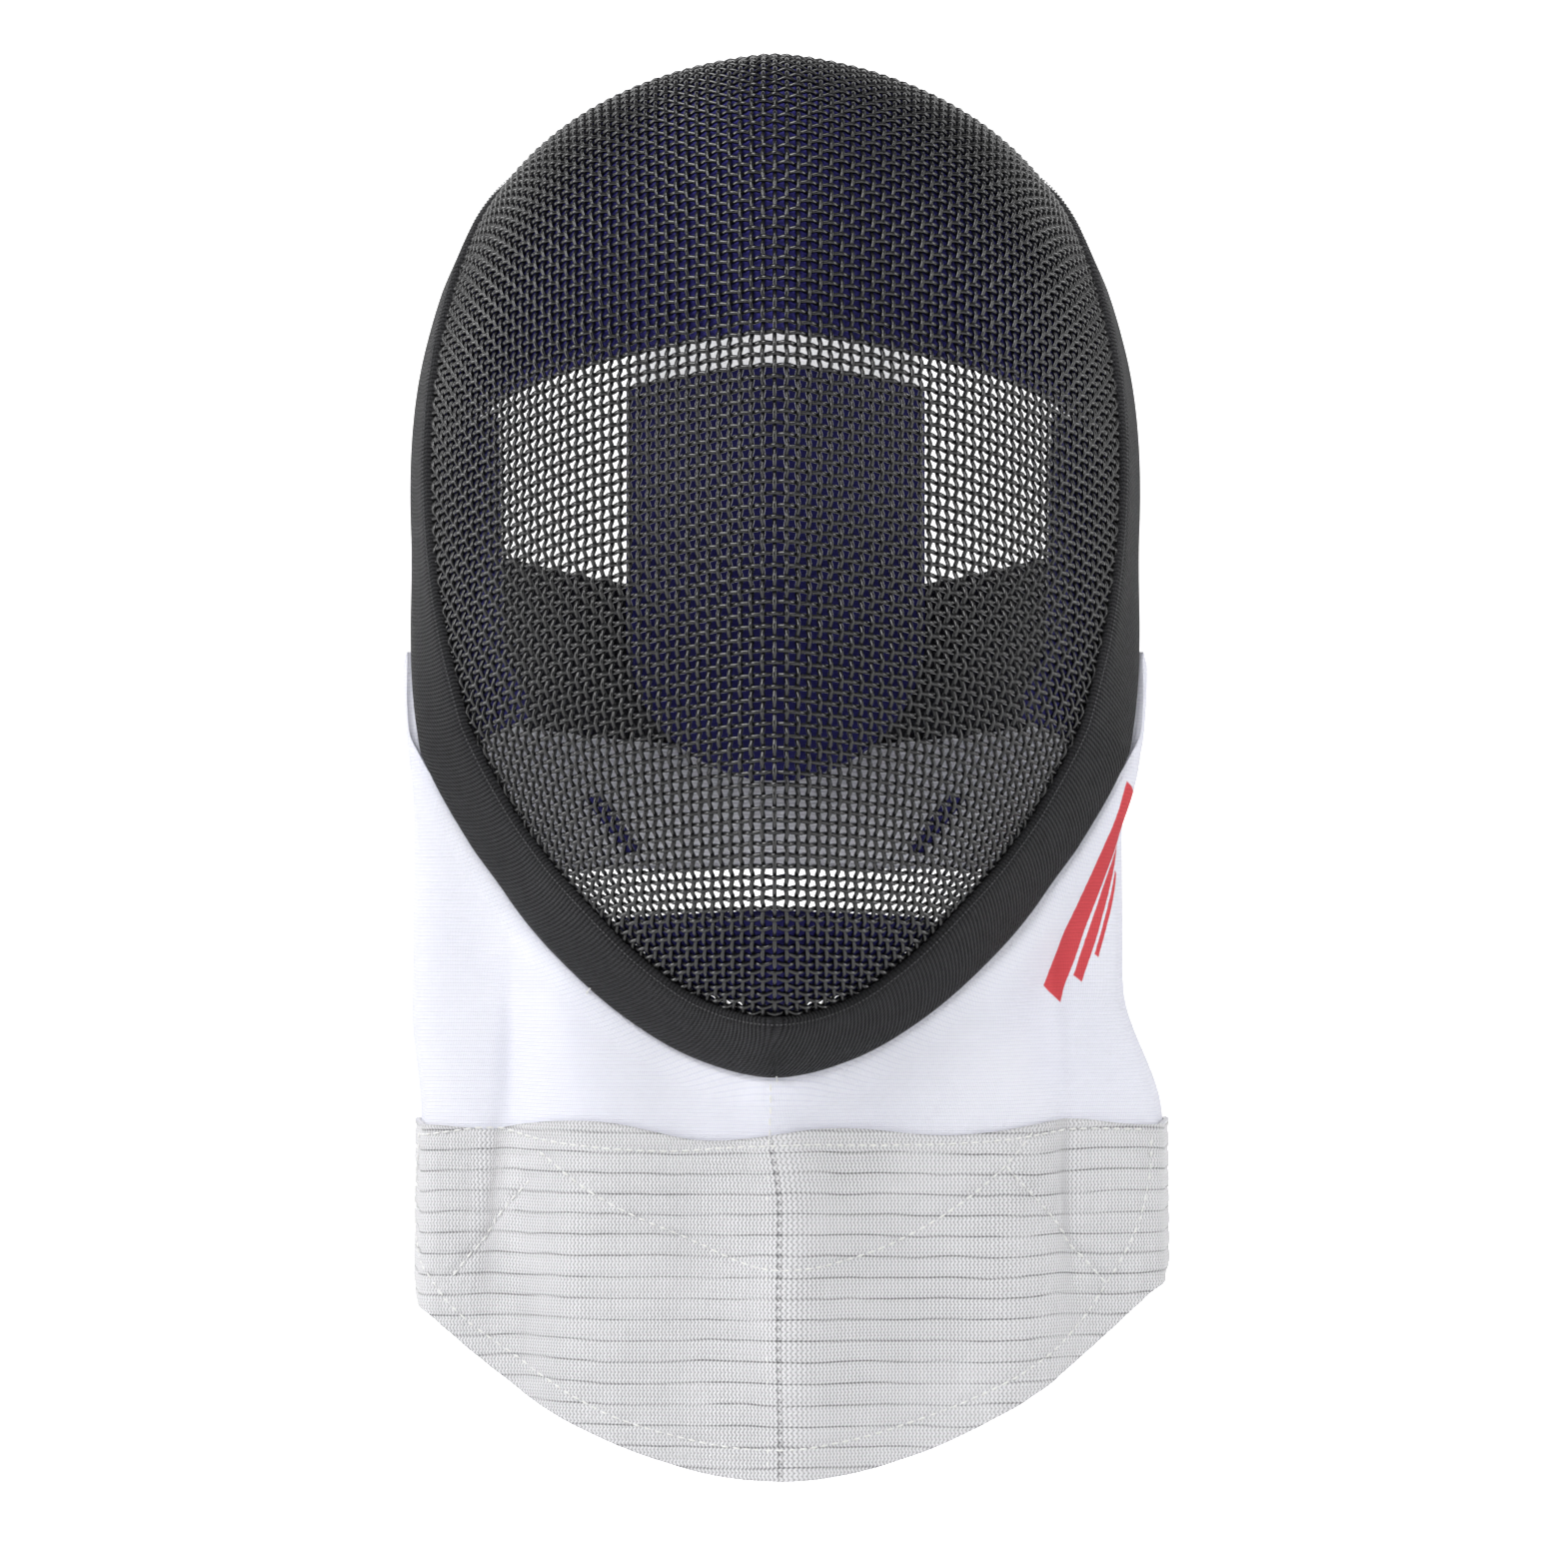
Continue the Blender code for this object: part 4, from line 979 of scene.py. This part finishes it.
def backdrop():
    """A white floor that curves up into a wall behind."""
    low = cad_box[0][2] - .12
    r = 1.2
    a = np.linspace(0, np.pi / 2, 13)
    y = np.concatenate([[-4.0, -1.0], 2.0 + r * np.sin(a), [2.0 + r]])
    z = np.concatenate([[0, 0], r - r * np.cos(a), [5.0]]) + low
    x = np.linspace(-6, 6, 9)
    pts = np.stack([np.broadcast_to(x, (len(y), 9)), np.broadcast_to(y[:, None], (len(y), 9)),
                    np.broadcast_to(z[:, None], (len(y), 9))], -1)
    me = bpy.data.meshes.new("studio_floor")
    me.from_pydata(pts.reshape(-1, 3).tolist(), [], grid_faces(len(y), 9).tolist())
    me.polygons.foreach_set("use_smooth", np.ones(len(me.polygons), bool))
    # The wall behind has its own light
    m, b, t = surface("studio_white", (.9, .9, .9), .9, 0, 0, .1)
    b.inputs["Emission Color"].default_value = (1, 1, 1, 1)
    place = t.nodes.new("ShaderNodeSeparateXYZ")
    t.links.new(t.nodes.new("ShaderNodeTexCoord").outputs["Object"], place.inputs[0])
    behind = ramp(t, place.outputs[1], .15, .8, 0, .95)
    # From other sides the floor further away looks white too, without lighting anything
    away = maths(t, "SQRT", add(t, (1, maths(t, "MULTIPLY", place.outputs[0], place.outputs[0])),
                                (1, maths(t, "MULTIPLY", place.outputs[1], place.outputs[1]))))
    seen = t.nodes.new("ShaderNodeLightPath").outputs["Is Camera Ray"]
    seen = maths(t, "MULTIPLY", seen, ramp(t, away, .35, 1.1, 0, .95))
    t.links.new(maths(t, "MAXIMUM", behind, seen), b.inputs["Emission Strength"])
    me.materials.append(m)
    ob = bpy.data.objects.new("studio_floor", me)
    bpy.context.scene.collection.objects.link(ob)


def area(name, place, aim, size, power):
    data = bpy.data.lights.new(name, "AREA")
    data.shape = "RECTANGLE"
    data.size, data.size_y = size
    data.energy = power
    ob = bpy.data.objects.new(name, data)
    ob.location = place
    ob.rotation_euler = (Vector(aim) - Vector(place)).to_track_quat("-Z", "Y").to_euler()
    bpy.context.scene.collection.objects.link(ob)


def studio():
    """Camera at the photograph's angle, white surroundings and five soft lights."""
    cam_data = bpy.data.cameras.new("photo_camera")
    cam_data.sensor_width = 36
    cam_data.lens = FOCAL_PIXELS / PHOTO_WIDTH * 36
    cam = bpy.data.objects.new("photo_camera", cam_data)
    cam.location = Vector(CAMERA_PLACE) - Vector(ORIGIN)
    cam.rotation_euler = (np.pi / 2, 0, 0)
    bpy.context.scene.collection.objects.link(cam)
    bpy.context.scene.camera = cam
    bpy.context.scene.view_settings.view_transform = "Standard"
    backdrop()
    world = bpy.data.worlds.new("studio")
    bpy.context.scene.world = world
    world.use_nodes = True
    tree = world.node_tree
    tree.nodes["Background"].inputs["Color"].default_value = (1, 1, 1, 1)
    # A dim light from all round; the camera sees it white
    seen = tree.nodes.new("ShaderNodeLightPath").outputs["Is Camera Ray"]
    strength = maths(tree, "MULTIPLY_ADD", seen, 1 - WORLD_LIGHT, WORLD_LIGHT)
    tree.links.new(strength, tree.nodes["Background"].inputs["Strength"])
    for name, place, size, power in LIGHTS:
        area(name, place, LIGHT_AIM, size, power)


for build in (weave_group, rib_group, cord_group, fibre_group):
    build()
wire_mat = wire_material()
knit_mat = knit_material("charcoal_knit_band", (.030, .030, .034), (.003, .003, .004))
tab_mat = knit_material("charcoal_tab_knit", (.04, .04, .044), (.016, .016, .018), .0009)
coarse, coarse_uv = bib_grid(40, 10, 220)
at_bars = np.argmin(np.abs(coarse[BARS_ROW, :, 0] - BARS_ACROSS))
bars_place = (float(coarse_uv[BARS_ROW, at_bars, 0]) + BARS_ASIDE, BARS_LEVEL, BARS_SLANT)
white_mat = cloth_material("white_bib_cloth", (.92, .925, .995), (.80, .81, .925), depth=.8,
                           stripes=bars_place)
pale_mat = cloth_material("pale_sleeve_cloth", (.97, .97, .98), (.90, .90, .92), glow=1.0)
navy_mat = cloth_material("navy_pad_cloth", (.026, .024, .13), (.014, .013, .07), sheen=.02)
# Painted light: a lighter copy of the navy cloth for the forehead, side and chin pads, standing in for the
# key light that falls on them from above
lit_navy_mat = cloth_material("navy_cloth_painted_lit", (.062, .057, .31), (.040, .037, .20), sheen=.03)
silver_mat = silver_material()
black_mat = elastic_material("black_strap_elastic", (.020, .020, .023), (.008, .008, .010))
neck_mat = elastic_material("pale_neck_elastic", (.74, .74, .76), (.56, .56, .58))
bright_thread = thread_material("bright_thread", (.80, .80, .79))
grey_thread = thread_material("grey_thread", (.22, .22, .23))
band_thread = thread_material("charcoal_thread", (.10, .10, .105))
navy_thread = thread_material("navy_thread", (.04, .038, .14))

wires("wires_warp_left", True, range(-46, 0), wire_mat, ("mesh_cage",))
wires("wires_warp_right", True, range(0, 47), wire_mat)
wires("wires_weft_low", False, range(-40, 29), wire_mat)
wires("wires_weft_high", False, range(29, 90), wire_mat)
binding(knit_mat, band_thread, bright_thread)
bib_mid = bib(white_mat, silver_mat, bright_thread)
pads(lit_navy_mat, navy_thread)
tongue(navy_mat, pale_mat, grey_thread)
bands(bib_mid, black_mat, tab_mat, neck_mat, grey_thread)
studio()
